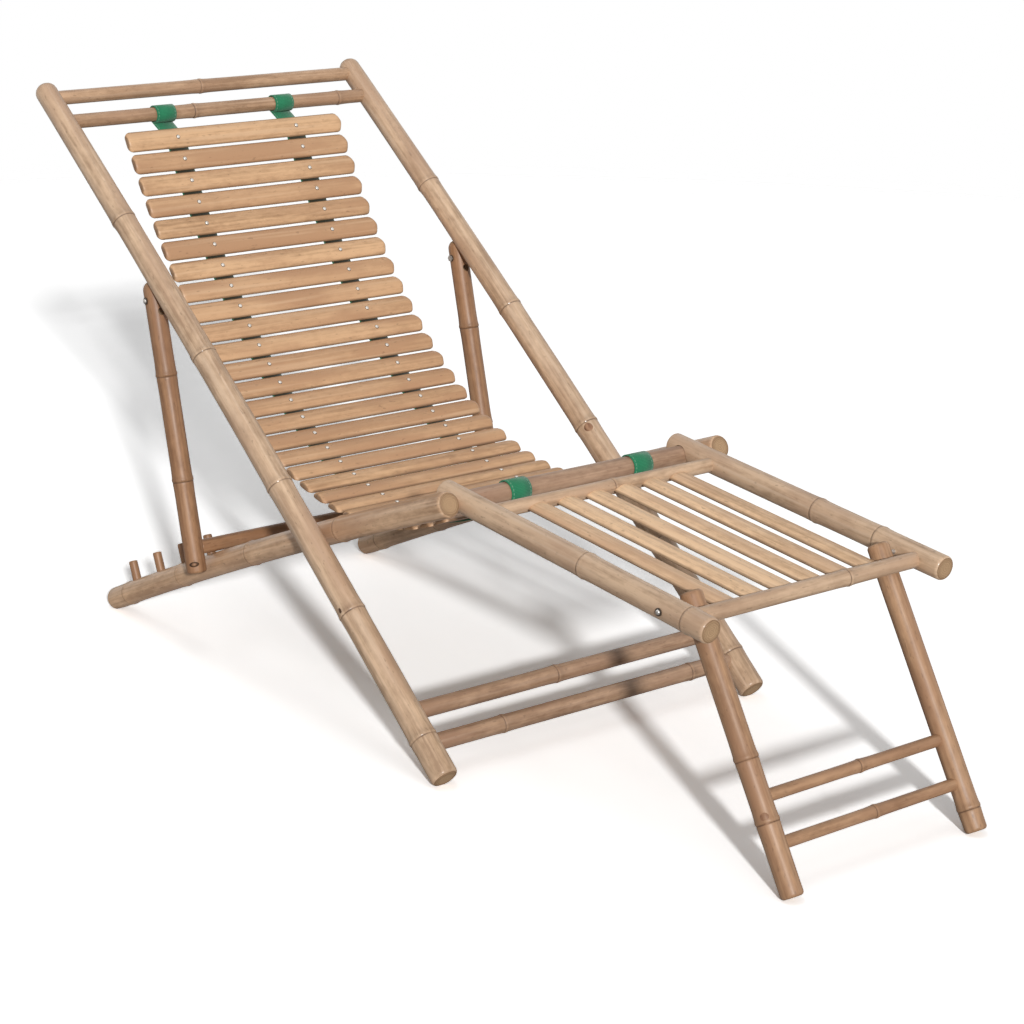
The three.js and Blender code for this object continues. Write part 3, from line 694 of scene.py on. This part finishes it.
# What each colour of a bamboo skin is of its main colour
SKIN_SHADES = {"Pale": (1.22, 1.22, 1.22), "Deep": (0.66, 0.60, 0.55), "Rosy": (0.84, 0.76, 0.74),
               "Bleached": (1.22, 1.30, 1.42)}
LACQUER = {"Coat Weight": 0.30, "Coat Roughness": 0.16, "Specular IOR Level": 0.4}
SATIN = {"Coat Weight": 0.12, "Coat Roughness": 0.35, "Specular IOR Level": 0.4}
DULL = {"Specular IOR Level": 0.3}
CLOTH = {"Sheen Weight": 0.25, "Sheen Roughness": 0.5, "Specular IOR Level": 0.25}
SKINS = {"pole": (0.5, LACQUER), "seat": (0.55, LACQUER), "rail": (0.5, LACQUER), "foot": (0.5, LACQUER),
         "front": (0.6, SATIN), "prop": (0.35, SATIN), "leg": (0.5, SATIN), "slat": (0.3, SATIN),
         "rest": (0.2, SATIN)}
# Dark colours of the bud scars and dowel rings, also used for the painted shade at the footrest slats' ends
DARK_MARK_AND_SHADE = {"Pale": (0.12, 0.06, 0.03), "Deep": (0.04, 0.02, 0.01), "Rosy": (0.08, 0.04, 0.02),
       "Bleached": (0.16, 0.09, 0.05), "Blotches": 0.3, "Gloss": 0.6}
HEALED = {"Pale": (0.42, 0.24, 0.14), "Deep": (0.20, 0.10, 0.055), "Rosy": (0.30, 0.14, 0.08),
          "Bleached": (0.45, 0.30, 0.20), "Blotches": 0.8, "Gloss": 0.5}
CUT = {"Pale": (0.50, 0.33, 0.19), "Deep": (0.17, 0.09, 0.045)}

# Metals: bright and dull colour, metallic part and bump
METALS = {"bolt_steel": ((0.62, 0.60, 0.57), (0.34, 0.31, 0.28), 0.7, 0.15),
          "rivet_metal": ((0.78, 0.75, 0.70), (0.52, 0.48, 0.43), 0.3, 0.1),
          "pin_iron": ((0.10, 0.075, 0.055), (0.05, 0.035, 0.025), 0.5, 0.2)}


class RECLINER_OT_finishes(bpy.types.Operator):
    """Makes the bamboo, webbing and metal materials"""

    bl_idname = "recliner.finishes"
    bl_label = "Finishes"

    def execute(self, context):
        look = context.scene.recliner_bamboo
        strap = context.scene.recliner_strap
        for make_group in (bamboo_skin_group, cut_bamboo_group, webbing_group, metal_group):
            make_group()
        scar = tuple(look.scar)
        for name, (blotches, shader) in SKINS.items():
            main = getattr(look, name)
            colours = {shade: tuple(part * factor for part, factor in zip(main, factors))
                       for shade, factors in SKIN_SHADES.items()}
            colours |= {"Scar": scar, "Blotches": blotches, "Gloss": look.gloss}
            finish_material(f"{name}_bamboo", "Bamboo Skin", colours, shader, 0.25)
        finish_material("bud_bamboo", "Bamboo Skin", DARK_MARK_AND_SHADE | {"Scar": scar}, DULL, 0.4)
        finish_material("healed_bamboo", "Bamboo Skin", HEALED | {"Scar": scar}, DULL, 0.6)
        finish_material("cut_bamboo", "Cut Bamboo", CUT, DULL, 0.3)
        threads = {"Thread": tuple(strap.thread), "Gap": tuple(strap.gap)}
        finish_material("strap_webbing", "Webbing", threads, CLOTH, 0.6, 0.6 * MM)
        for name, (bright, dull, metallic, bump) in METALS.items():
            colours = {"Bright": bright, "Dull": dull}
            finish_material(name, "Worn Metal", colours, {"Metallic": metallic}, bump, 0.1 * MM)
        return {"FINISHED"}


def tongue(name, line, hinge):
    """The plate under a back pole that the prop's fork goes round: an eye at the bolt, bevelled all round."""
    foot = line.local(Vector((hinge.x, line.start.y, hinge.z)))
    inset = 0.8 * MM
    edge = 1 - inset / TONGUE_HALF_THICKNESS
    rings = []
    for y, shrink in ((-1, inset), (-edge, 0), (edge, 0), (1, inset)):
        half_width = TONGUE_HALF_WIDTH - shrink
        edge_spots = [(foot.x + half_width, TONGUE_ROOT), (foot.x - half_width, TONGUE_ROOT)]
        for i in range(13):
            turn = math.pi + math.pi * i / 12
            edge_spots.append((foot.x + math.cos(turn) * half_width, foot.z - math.sin(turn) * half_width))
        rings.append([line.at(s, y * TONGUE_HALF_THICKNESS, z) for s, z in edge_spots])
    place(ringed_piece(name, rings, "foot_bamboo", line, 0.7, 5), "back_frame", "pole")


class RECLINER_OT_back_frame(bpy.types.Operator):
    """Builds the two long back poles with their prop tongues, and the four rails between them"""

    bl_idname = "recliner.back_frame"
    bl_label = "Back frame"

    def execute(self, context):
        for word, sign in SIDES.items():
            line = side_line(BACK_POLE, sign * BACK_SIDE)
            radii = BACK_POLE["radii"]
            tone = 0.30 if sign < 0 else 0.36
            side_pole("pole_back", word, line, BACK_POLE, BACK_KNOTS, "pole_bamboo", 3, tone, "back_frame",
                      "pole", channels=BACK_CHANNELS, end_rounding=BACK_ENDS)
            for i, (share, below, turn, size, finish) in enumerate(BACK_BUDS[word]):
                radius = radii[0] + (radii[1] - radii[0]) * share
                bud_scar(f"bud_back_{word}_{i + 1}", line, share - below, turn, radius, "back_frame", "pole",
                         size, finish)
            tongue(f"prop_tongue_{word}", line, box_middle(f"prop_bolt_{word}"))
        rails = (("head_rail_top", 0.0105, (0.47,), 0.45),
                 ("head_rail_sling", UPPER_SLING_RAIL_RADIUS, (0.4, 0.9), 0.55),
                 ("foot_rail_upper", 0.012, (0.45,), 0.35), ("foot_rail_lower", 0.012, (0.22, 0.85), 0.4))
        for i, (node, radius, knots, tone) in enumerate(rails):
            finish = "rail_bamboo" if node.startswith("head") else "foot_bamboo"
            cross_piece(f"{node}_culm", node, BACK_SIDE - 0.008, radius, knots, finish, 11 + i, tone,
                        "back_frame", "rail", channels=((knots[0], 150, 0.14),))
        return {"FINISHED"}


class RECLINER_OT_seat_frame(bpy.types.Operator):
    """Builds the two seat poles with their pegs, and the front rail"""

    bl_idname = "recliner.seat_frame"
    bl_label = "Seat frame"

    def execute(self, context):
        for word, sign in SIDES.items():
            line = side_line(SEAT_POLE, sign * SEAT_SIDE)
            side_pole("pole_seat", word, line, SEAT_POLE, SEAT_KNOTS, "seat_bamboo", 21, 0.42, "seat_frame",
                      "seat_pole")
            for i in range(PEG_COUNT):
                foot = line.at(FOREMOST_PEG - i * PEG_PITCH)
                reach = PEG_REACH + 0.4 * MM * noise.noise(foot * 90)
                shaft = PoleLine(foot, foot + line.up * reach, line.along)
                peg = bamboo_piece(f"peg_{word}_{i + 1}", shaft, PEG_RADII, (), "prop_bamboo", 31 + i + sign,
                                   0.4, sides=20, pitch=0.01)
                place(peg, "seat_frame", "seat_pole")
        cross_piece("rail_front", "front_rail", SEAT_SIDE - 0.010, FRONT_RAIL_RADIUS, (0.3, 0.74),
                    "front_bamboo", 41, 0.45, "seat_frame", "seat_pole", sides=32, pitch=0.022)
        return {"FINISHED"}


# A dowel's end in each prop's foot, a dark ring round a core: name, half width, height and finish
DOWEL_END = (("pin", 0.0072, 0.0145, "bud_bamboo"), ("pin_core", 0.0038, 0.0153, "prop_bamboo"))
DOWEL_SHARE = 0.0237
DOWEL_TURN = 40.7


class RECLINER_OT_props(bpy.types.Operator):
    """Builds the two forked props, the cross bar between them and the bolts they hang on"""

    bl_idname = "recliner.props"
    bl_label = "Props"

    def execute(self, context):
        back = side_line(BACK_POLE, 0)
        slot_half = TONGUE_HALF_THICKNESS + 0.5 * MM
        for word, sign in SIDES.items():
            line = side_line(PROP, sign * BACK_SIDE)
            bolt = box_middle(f"prop_bolt_{word}")
            head = line.local(bolt).x
            fork = (head - FORK_END, line.length + 0.01)
            slot = box_cutter(line, fork, (-slot_half, slot_half), THROUGH)
            hole = cylinder_cutter(line.at(head - FORK_HOLE_END), FORK_HOLE_RADIUS, line.up, 24)
            under = back.local(bolt).x
            surface = back.rise(under) + BACK_RADIUS_AT_PROP + PROP_CLEARANCE
            side = -sign * BACK_SIDE
            bevel = box_cutter(back, (under - BEVEL_HALF_LENGTH, under + BEVEL_HALF_LENGTH),
                               (side - CUT_REACH, side + CUT_REACH), (surface - BEVEL_DEPTH, surface))
            side_pole("prop_culm", word, line, PROP, PROP_KNOTS, "prop_bamboo", 51, 0.35, "prop_frame",
                      "prop", cutters=(slot, hole, bevel), end_rounding=PROP_ENDS)
            bolt_piece(f"bolt_prop_{word}", bolt, PROP_BOLT_ENDS, sign, "back_frame", f"prop_bolt_{word}")
            for part, reach, radius, finish in DOWEL_END:
                bud_scar(f"prop_{part}_{word}", line, DOWEL_SHARE, -90 - sign * DOWEL_TURN, radius,
                         "prop_frame", "prop", (reach * 0.53, reach), finish)
        cross_piece("bar_culm", "cross_bar", BACK_SIDE - 0.009, 0.0105, (0.36, 0.8), "prop_bamboo", 61, 0.3,
                    "prop_frame", "prop")
        return {"FINISHED"}


def lathe(profile, middle, axis, sides):
    """Rings about an axis from pairs of distance along it and radius."""
    tilt = axis.normalized().to_track_quat("Z", "Y").to_matrix()
    rings = []
    for along, radius in profile:
        turns = [2 * math.pi * j / sides for j in range(sides)]
        spots = [Vector((math.cos(t) * radius, math.sin(t) * radius, along)) for t in turns]
        rings.append([middle + tilt @ spot for spot in spots])
    return skin_rings(rings)


def turned_piece(name, parts, metal, angle, body, *nodes):
    """Several turned parts in one mesh. The ones marked 1 are dark iron."""
    vertices, faces, marks = [], [], []
    for spot, axis, profile, sides, mark in parts:
        more, loops = lathe(profile, spot, axis, sides)
        base = len(vertices)
        vertices += more
        faces += [tuple(base + i for i in loop) for loop in loops]
        marks += [mark] * len(loops)
    piece = new_object(name, vertices, faces, [material(metal), material("pin_iron")], marks)
    smooth(piece, angle)
    place(piece, body, "steel", *nodes)


def outline(*pairs):
    """Distances along an axis and radii, in millimetres, for turning."""
    return [(along * MM, radius * MM) for along, radius in pairs]


WASHER = outline((-0.9, 3), (-0.9, 5.2), (0.4, 5.0), (0.5, 3.6))
BOLT_HEAD = outline((0.3, 3.4), (1.3, 3.3), (2.2, 2.7), (2.7, 1.6))
NUT = outline((0.3, 4.8), (2.6, 4.8))
RIVET_HEAD = outline((-0.8, 2.7), (0.6, 2.7), (1.1, 2.1), (1.4, 1.1))
RIVET_RIM = outline((-0.8, 3.3), (0.1, 3.3), (0.3, 2.8))


# Where the bolts end, from the chair's middle: under the head and at the far washer or the blind end
PROP_BOLT_ENDS = (BACK_SIDE + 0.0158, BACK_SIDE - 0.0158)
LEG_BOLT_ENDS = (REST_SIDE + 0.0176, LEG_SIDE - 0.0138)


def bolt_piece(name, middle, ends, sign, body, node, nut=True):
    """A bolt: a washer and a domed head outside, its shank, and a washer and nut inside."""
    outside, inside = (Vector((middle.x, sign * end, middle.z)) for end in ends)
    out, back = Vector((0, sign, 0)), Vector((0, -sign, 0))
    parts = [(outside, out, WASHER, 24, 1), (outside, out, BOLT_HEAD, 24, 0),
             (outside, back, [(0, 3 * MM), (ends[0] - ends[1] - 1 * MM, 3 * MM)], 16, 0)]
    if nut:
        parts += [(inside, back, WASHER, 24, 1), (inside, back, NUT, 6, 0)]
    turned_piece(name, parts, "bolt_steel", 35, body, node)


def slat_mesh(name, spot, across, up, length_way, size, end_radius, finish, seed, tone, knots=(), warmth=0.0):
    """A split bamboo slat: flat below, gently crowned above, with thin dark edges and rounded corners."""
    length, width, rise = size
    half_length = length / 2
    stations = [half_length * math.sin(math.pi / 2 * i / 22) for i in range(-22, 23)]
    top = 11
    rings = []
    for s in stations:
        beyond = abs(s) - (half_length - end_radius)
        half_width = width / 2
        if end_radius and beyond > 0:
            half_width += math.sqrt(max(end_radius ** 2 - beyond ** 2, 0)) - end_radius
        droop = rise * (0.24 * max(0, (abs(s) - half_length + 4 * MM) / (4 * MM)) ** 2)
        waver = 1 + 0.012 * noise.noise(Vector((s * 14, seed * 2.3, 0)))
        half_width *= min(waver, 1.0)
        ring = []
        for i in range(top + 1):
            share = math.cos(math.pi * i / top)
            wall = 0.24 * rise
            lift = wall + (rise - wall) * max(0.0, 1 - share ** 2) ** 0.85
            ring.append((share * half_width, max(lift - droop, 0.9 * MM)))
        for share in (-0.96, 0.0, 0.96):
            ring.append((share * half_width, 0.0))
        rings.append([spot + across * x + up * z + length_way * s for x, z in ring])
    line = PoleLine(spot - length_way * half_length, spot + length_way * half_length, up)
    piece = ringed_piece(name, rings, finish, line, tone, seed, 50, knots)
    places = [line.local(v.co) for v in piece.data.vertices]
    narrow, short = width / 2 - 0.9 * MM, half_length - 0.8 * MM
    edges = [1.0 if abs(p.y) > narrow or abs(p.x - half_length) > short else 0.0 for p in places]
    set_values(piece, "edge", "FLOAT", edges)
    set_values(piece, "warmth", "FLOAT", [warmth] * len(places))
    return piece


def chord(node):
    """Middle, direction and normal of a slat's flat underside, in the side view, from its CAD node."""
    places = {(round(v.co.x, 5), round(v.co.z, 5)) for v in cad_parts[node].data.vertices}
    spots = [Vector((x, 0, z)) for x, z in places]
    first, second = max(((a, b) for a in spots for b in spots), key=lambda pair: (pair[0] - pair[1]).length)
    if first.x > second.x:
        first, second = second, first
    along = (second - first).normalized()
    return (first + second) / 2, along, Vector((-along.z, 0, along.x))


def sling_places():
    return [chord(f"sling_slat_{i + 1:02d}") for i in range(SLAT_COUNT)]


def sling_body(index):
    return f"sling_{index // SLATS_PER_LENGTH + 1}"


class RECLINER_OT_sling(bpy.types.Operator):
    """Builds the sling's slats and the rivets that hold them"""

    bl_idname = "recliner.sling"
    bl_label = "Sling"

    def execute(self, context):
        rivets = {}
        for i, (middle, along, normal) in enumerate(sling_places()):
            tone = 0.30 + 0.62 * noise.noise(Vector((i * 1.37, 4.1, 0.3)))
            warmth = 0.15 + 0.9 * noise.noise(Vector((i * 2.13, 0.7, 6.1)))
            knots = (0.2 + 0.6 * ((i * 0.377) % 1),) if i % 5 == 3 else ()
            slat = slat_mesh(f"slat_{i + 1:02d}", middle, along, normal, Vector((0, 1, 0)), SLAT_SIZE,
                             SLAT_CORNER, "slat_bamboo", i + 71, tone, knots, warmth)
            place(slat, sling_body(i), "slat", f"sling_slat_{i + 1:02d}")
            for sign in SIDES.values():
                spot = middle + normal * (SLAT_SIZE[2] - 0.1 * MM) + Vector((0, sign * STRAP_SIDE, 0))
                rivet = [(spot, normal, RIVET_HEAD, 18, 0), (spot, normal, RIVET_RIM, 18, 1)]
                rivets.setdefault(sling_body(i), []).extend(rivet)
        for body, parts in rivets.items():
            turned_piece(f"rivets_{body}", parts, "rivet_metal", 50, body)
        return {"FINISHED"}


def tangent_spot(centre, radius, outside, below):
    """Where a line from an outside point touches a circle in the side view, on its lower or upper side."""
    away = outside - centre
    reach = away.length
    turn = math.acos(radius / reach)
    base = math.atan2(away.z, away.x)
    angle = base + turn if below else base - turn
    return centre + side_way(angle) * radius, angle


def arc(centre, radius, start, sweep, steps):
    turns = [start + sweep * i / steps for i in range(steps + 1)]
    return [centre + side_way(t) * radius for t in turns]


def smooth_path(spots):
    """A curve through points, sampled at about the strap's pitch."""
    out = []
    for i in range(len(spots) - 1):
        before = spots[max(i - 1, 0)]
        after = spots[min(i + 2, len(spots) - 1)]
        a, b = spots[i], spots[i + 1]
        steps = max(1, round((b - a).length / STRAP_PITCH))
        for k in range(steps):
            t = k / steps
            out.append(0.5 * ((2 * a) + (b - before) * t + (2 * before - 5 * a + 4 * b - after) * t * t
                              + (3 * a - before - 3 * b + after) * t ** 3))
    out.append(spots[-1])
    return out


def ribbon(name, path, side, start_length, look, painted_slat_shade):
    """A thin band with soft edges along a path in the side view. The last argument says where slats lie on
    it, where its upper face is painted in shade.
    """
    half, thick = look.width / 2, look.thickness / 2
    section = [(-half, 0.25 * thick), (-half + 0.7 * MM, thick), (0, thick), (half - 0.7 * MM, thick),
               (half, 0.25 * thick), (half, -0.25 * thick), (half - 0.7 * MM, -thick), (0, -thick),
               (-half + 0.7 * MM, -thick), (-half, -0.25 * thick)]
    rings, values, shade = [], [], []
    run = start_length
    for i, spot in enumerate(path):
        ahead = path[min(i + 1, len(path) - 1)]
        behind = path[max(i - 1, 0)]
        way = (ahead - behind).normalized()
        normal = Vector((-way.z, 0, way.x))
        run += (spot - behind).length
        rings.append([spot + Vector((0, side + y, 0)) + normal * z for y, z in section])
        values += [(y, run, z) for y, z in section]
        shade += [painted_slat_shade(spot)] * len(section)
    vertices, faces = skin_rings(rings)
    values += [(0, start_length, 0), (0, run, 0)]
    shade += [shade[0], shade[-1]]
    piece = new_object(name, vertices, faces, [material("strap_webbing")])
    set_values(piece, "weave", "FLOAT_VECTOR", values)
    # Cover is 1 where the strap's upper face is painted in shade under the slats
    set_values(piece, "cover", "FLOAT", shade)
    smooth(piece, 60)
    return piece, run


class RECLINER_OT_straps(bpy.types.Operator):
    """Builds the two green straps, each from loop to loop in several lengths"""

    bl_idname = "recliner.straps"
    bl_label = "Straps"

    def execute(self, context):
        look = context.scene.recliner_strap
        chords = sling_places()
        drop = look.thickness / 2 + 0.5 * MM
        middles = [middle - normal * drop for middle, _, normal in chords]
        upper, lower = box_middle("head_rail_sling"), box_middle("front_rail")
        upper_reach = UPPER_SLING_RAIL_RADIUS + look.thickness / 2 + 0.8 * MM
        lower_reach = FRONT_RAIL_RADIUS + look.thickness / 2 + 0.8 * MM
        top_spot, top_angle = tangent_spot(upper, upper_reach, middles[0], False)
        end_spot, end_angle = tangent_spot(lower, lower_reach, middles[-1], True)
        top_loop = arc(upper, upper_reach, top_angle + LOOP_TURN, -LOOP_TURN, 40)
        end_loop = arc(lower, lower_reach, end_angle, LOOP_TURN, 44)
        lengths = SLAT_COUNT // SLATS_PER_LENGTH
        cuts = [SLATS_PER_LENGTH * k + 1 for k in range(lengths)]
        opening = (middles[OPEN_AFTER - 1] + middles[OPEN_AFTER]) / 2
        first_way, last_way = chords[0][1], chords[-1][1]

        def painted_slat_shade(spot):
            """1 between the first and the last slat, where the strap is painted in shade, 0 on the loops."""
            past_first = (spot - middles[0]).dot(first_way) > 0.0
            before_last = (middles[-1] - spot).dot(last_way) > 0.0
            return 1.0 if past_first and before_last else 0.0

        for word, sign in SIDES.items():
            run = 0.0
            side = sign * STRAP_SIDE
            stretches = [("sling_1", top_loop[:-1] + smooth_path([top_spot] + middles[:cuts[0] + 1]))]
            for k in range(1, lengths):
                spots = middles[cuts[k - 1]:cuts[k] + 1]
                bend = SLATS_PER_LENGTH * k
                if bend == OPEN_AFTER:
                    place_in = spots.index(middles[bend - 1]) + 1
                    stretches.append((f"sling_{k}", smooth_path(spots[:place_in] + [opening])))
                    stretches.append((f"sling_{k + 1}", smooth_path([opening] + spots[place_in:])))
                else:
                    stretches.append(((k, bend), smooth_path(spots)))
            last = smooth_path(middles[cuts[-1]:] + [end_spot])[:-1] + end_loop
            stretches.append((f"sling_{lengths}", last))
            for i, (carrier, path) in enumerate(stretches):
                piece, run = ribbon(f"strap_{word}_{i + 1}", path, side, run, look, painted_slat_shade)
                if i == 0:
                    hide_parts(f"strap_{word}")
                if isinstance(carrier, str):
                    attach(piece, carrier)
                else:
                    k, bend = carrier
                    tuple(middles[bend - 1])
                    tuple(middles[bend])
                    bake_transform(piece)
        return {"FINISHED"}


class RECLINER_OT_footrest(bpy.types.Operator):
    """Builds the footrest: two hooked poles, two cross rails and the lengthwise slats, with painted shade at
    the slats' ends
    """

    bl_idname = "recliner.footrest"
    bl_label = "Footrest"

    def execute(self, context):
        hook = box_middle("front_rail")
        for word, sign in SIDES.items():
            line = side_line(REST_POLE, sign * REST_SIDE)
            seat = line.local(hook)
            eye = Vector((hook.x, sign * REST_SIDE, hook.z))
            round_cut = cylinder_cutter(eye, HOOK_RADIUS)
            stations = (seat.x - HOOK_RADIUS, seat.x + HOOK_RADIUS)
            mouth = box_cutter(line, stations, THROUGH, (-2 * CUT_REACH, seat.z))
            side_pole("pole_rest", word, line, REST_POLE, REST_KNOTS[word], "pole_bamboo", 81, 0.06,
                      "footrest", "footrest", cutters=(round_cut, mouth))
        rails = (("rest_rail_rear", 0.010, (0.53,), 0.3), ("rest_rail_front", 0.0105, (0.67,), 0.25))
        for i, (node, radius, knots, tone) in enumerate(rails):
            cross_piece(f"{node}_culm", node, REST_SIDE - 0.009, radius, knots, "pole_bamboo", 91 + i, tone,
                        "footrest", "footrest")
        line = side_line(REST_POLE, 0)
        ways = (line.side, line.up, line.along)
        for i in range(REST_SLAT_COUNT):
            node = f"rest_slat_{i + 1}"
            middle = box_middle(node) - line.up * (REST_SLAT_SIZE[2] / 2)
            tone = 0.22 + 0.45 * noise.noise(Vector((i * 2.1, 9.2, 0)))
            warmth = 0.1 + 0.8 * noise.noise(Vector((i * 1.7, 2.2, 5)))
            slat = slat_mesh(f"{node}_split", middle, *ways, REST_SLAT_SIZE, 0, "rest_bamboo", 101 + i, tone,
                             (0.55,) if i % 2 else (), warmth)
            place(slat, "footrest", "footrest", node)
            # Thin dark strips across both ends of each slat, where it meets a rail: painted shade
            for word, way in (("rear", -1), ("front", 1)):
                spot = middle + line.along * (way * SHADE_STRIP_PLACE) - line.up * (0.6 * MM)
                rim = slat_mesh(f"{node}_pocket_{word}", spot, *ways, SHADE_STRIP_SIZE, 0, "bud_bamboo", 131 + i,
                                0.8)
                place(rim, "footrest", "footrest")
        return {"FINISHED"}


class RECLINER_OT_legs(bpy.types.Operator):
    """Builds the footrest's two legs, the rails between them and the bolts they fold on"""

    bl_idname = "recliner.legs"
    bl_label = "Legs"

    def execute(self, context):
        for word, sign in SIDES.items():
            line = side_line(LEG, sign * LEG_SIDE)
            side_pole("leg_culm", word, line, LEG, LEG_KNOTS[word], "leg_bamboo", 111, 0.38, "legs", "leg",
                      end_rounding=LEG_ENDS)
            if word == "right":
                bud_scar("bud_leg_right", line, 0.245, -42, LEG["radii"][0], "legs", "leg", ROUND_BUD,
                         "healed_bamboo")
            node = f"leg_bolt_{word}"
            bolt_piece(f"bolt_leg_{word}", box_middle(node), LEG_BOLT_ENDS, sign, "footrest", node, nut=False)
        for i, node in enumerate(("leg_rail_upper", "leg_rail_lower")):
            cross_piece(f"{node}_culm", node, LEG_SIDE - 0.008, 0.008, (0.52,), "leg_bamboo", 121 + i, 0.32,
                        "legs", "leg", sides=24)
        return {"FINISHED"}


KEY_DIRECTION = Vector((0.827, -0.458, 0.332))
KEY_ANGLE = 3.2
TOP_PLACE = Vector((-0.2, -0.4, 3.4))
TOP_SIZE = (3.4, 0.5)

# Where the floor ends and fades out, how much paler the camera sees it, and the grey it bounces
FLOOR_REACH = 14.0
FLOOR_FADE = (3.2, 4.6)
FLOOR_GAIN = 2.08
FLOOR_BOUNCE = (0.50, 0.50, 0.50, 1)
FLOOR_TINT = (0.86, 0.86, 0.87, 1)

# Where the photograph was taken from
CAMERA_TARGET = Vector((0.2095, -0.1495, 0.3421))
CAMERA_AZIMUTH = 50.51
CAMERA_ELEVATION = 16.66
CAMERA_ROLL = 1.02
CAMERA_DISTANCE = 3.4457


class RECLINER_OT_stage(bpy.types.Operator):
    """Makes the floor, the soft lamps, the surrounding light and the camera"""

    bl_idname = "recliner.stage"
    bl_label = "Stage"

    def execute(self, context):
        look = context.scene.recliner_stage
        scene = context.scene
        scene.view_settings.view_transform = "Standard"
        corners = [(x * FLOOR_REACH, y * FLOOR_REACH, 0) for x, y in ((-1, -1), (1, -1), (1, 1), (-1, 1))]
        floor = new_object("floor", corners, [(0, 1, 2, 3)], [self.floor_finish(look)])
        floor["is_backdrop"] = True
        world = bpy.data.worlds.new("studio")
        world.use_nodes = True
        scene.world = world
        build = Tree(world.node_tree)
        background = world.node_tree.nodes["Background"]
        path = build.add("ShaderNodeLightPath").outputs
        seen = build.math("MAXIMUM", path["Is Camera Ray"], path["Is Transmission Ray"])
        seen = build.math("MAXIMUM", seen, path["Is Glossy Ray"])
        build.feed(background.inputs["Strength"], build.spread(seen, 0, 1, look.fill, 1.0))
        background.inputs["Color"].default_value = (1, 1, 1, 1)
        key = bpy.data.lights.new("key", "SUN")
        key.energy = look.key
        key.angle = math.radians(KEY_ANGLE)
        self.aim(key, KEY_DIRECTION * 6)
        top = bpy.data.lights.new("top", "AREA")
        top.energy = look.top
        top.shape = "RECTANGLE"
        top.size, top.size_y = TOP_SIZE
        self.aim(top, TOP_PLACE)
        self.camera(scene, look)
        return {"FINISHED"}

    def floor_finish(self, look):
        """A pale matt floor that keeps the shadow, is white to the camera and fades out far away."""
        finish = bpy.data.materials.new("studio_floor")
        finish.use_nodes = True
        build = Tree(finish.node_tree)
        shader = finish.node_tree.nodes["Principled BSDF"]
        shader.inputs["Roughness"].default_value = 0.9
        shader.inputs["Specular IOR Level"].default_value = 0.1
        spot = build.add("ShaderNodeTexCoord").outputs["Object"]
        tint = build.spread(build.noise(spot, (3, 3, 3), detail=2), 0.3, 0.7, 0.0, 0.02)
        pale = build.mix(tint, (*look.floor, 1), FLOOR_TINT)
        direct = build.add("ShaderNodeLightPath").outputs["Is Camera Ray"]
        white = build.scale(pale, (FLOOR_GAIN, FLOOR_GAIN, FLOOR_GAIN))
        build.feed(shader.inputs["Base Color"], build.mix(direct, FLOOR_BOUNCE, white))
        away = build.add("ShaderNodeVectorMath", {"operation": "LENGTH"}, _0=build.scale(spot, (1, 1, 0)))
        build.feed(shader.inputs["Alpha"], build.spread(away.outputs["Value"], *FLOOR_FADE, 1.0, 0.0))
        return finish

    def aim(self, data, spot):
        lamp = bpy.data.objects.new(data.name, data)
        lamp.location = spot
        lamp.rotation_mode = "QUATERNION"
        lamp.rotation_quaternion = (-spot).to_track_quat("-Z", "Y")
        bpy.context.scene.collection.objects.link(lamp)

    def camera(self, scene, look):
        azimuth, elevation = math.radians(CAMERA_AZIMUTH), math.radians(CAMERA_ELEVATION)
        level = math.cos(elevation)
        back = Vector((math.sin(azimuth) * level, -math.cos(azimuth) * level, math.sin(elevation)))
        data = bpy.data.cameras.new("camera")
        data.sensor_width = 36
        data.lens = look.lens
        data.clip_end = 60
        camera = bpy.data.objects.new("camera", data)
        camera.rotation_mode = "QUATERNION"
        spin = Matrix.Rotation(math.radians(CAMERA_ROLL), 3, "Z").to_quaternion()
        camera.rotation_quaternion = (-back).to_track_quat("-Z", "Y") @ spin
        camera.location = CAMERA_TARGET + back * CAMERA_DISTANCE
        scene.collection.objects.link(camera)
        scene.camera = camera


OPERATORS = (
    RECLINER_OT_finishes, RECLINER_OT_back_frame, RECLINER_OT_seat_frame, RECLINER_OT_props,
    RECLINER_OT_sling, RECLINER_OT_straps, RECLINER_OT_footrest, RECLINER_OT_legs, RECLINER_OT_stage,
)


class RECLINER_PT_panel(bpy.types.Panel):
    """Lists what the recliner is made of"""

    bl_idname = "RECLINER_PT_panel"
    bl_label = "Bamboo Recliner"
    bl_space_type = "VIEW_3D"
    bl_region_type = "UI"
    bl_category = "Recliner"

    def draw(self, context):
        for made in OPERATORS:
            self.layout.operator(made.bl_idname)
        for group in ("recliner_bamboo", "recliner_strap", "recliner_stage"):
            box = self.layout.box()
            for key in getattr(context.scene, group).__annotations__:
                box.prop(getattr(context.scene, group), key)


CLASSES = (BambooLook, StrapLook, StageLook, *OPERATORS, RECLINER_PT_panel)


def register():
    for made in CLASSES:
        bpy.utils.register_class(made)
    bpy.types.Scene.recliner_bamboo = bpy.props.PointerProperty(type=BambooLook)
    bpy.types.Scene.recliner_strap = bpy.props.PointerProperty(type=StrapLook)
    bpy.types.Scene.recliner_stage = bpy.props.PointerProperty(type=StageLook)


def unregister():
    del bpy.types.Scene.recliner_stage
    del bpy.types.Scene.recliner_strap
    del bpy.types.Scene.recliner_bamboo
    for made in reversed(CLASSES):
        bpy.utils.unregister_class(made)


def main():
    register()
    for made in OPERATORS:
        group, call = made.bl_idname.split(".")
        getattr(getattr(bpy.ops, group), call)()
    boxes = {"cad": CAD_BOX, "visual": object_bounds()}
    sizes = {name: [list(corner) for corner in corners] for name, corners in boxes.items()}


if __name__ == "__main__":
    main()
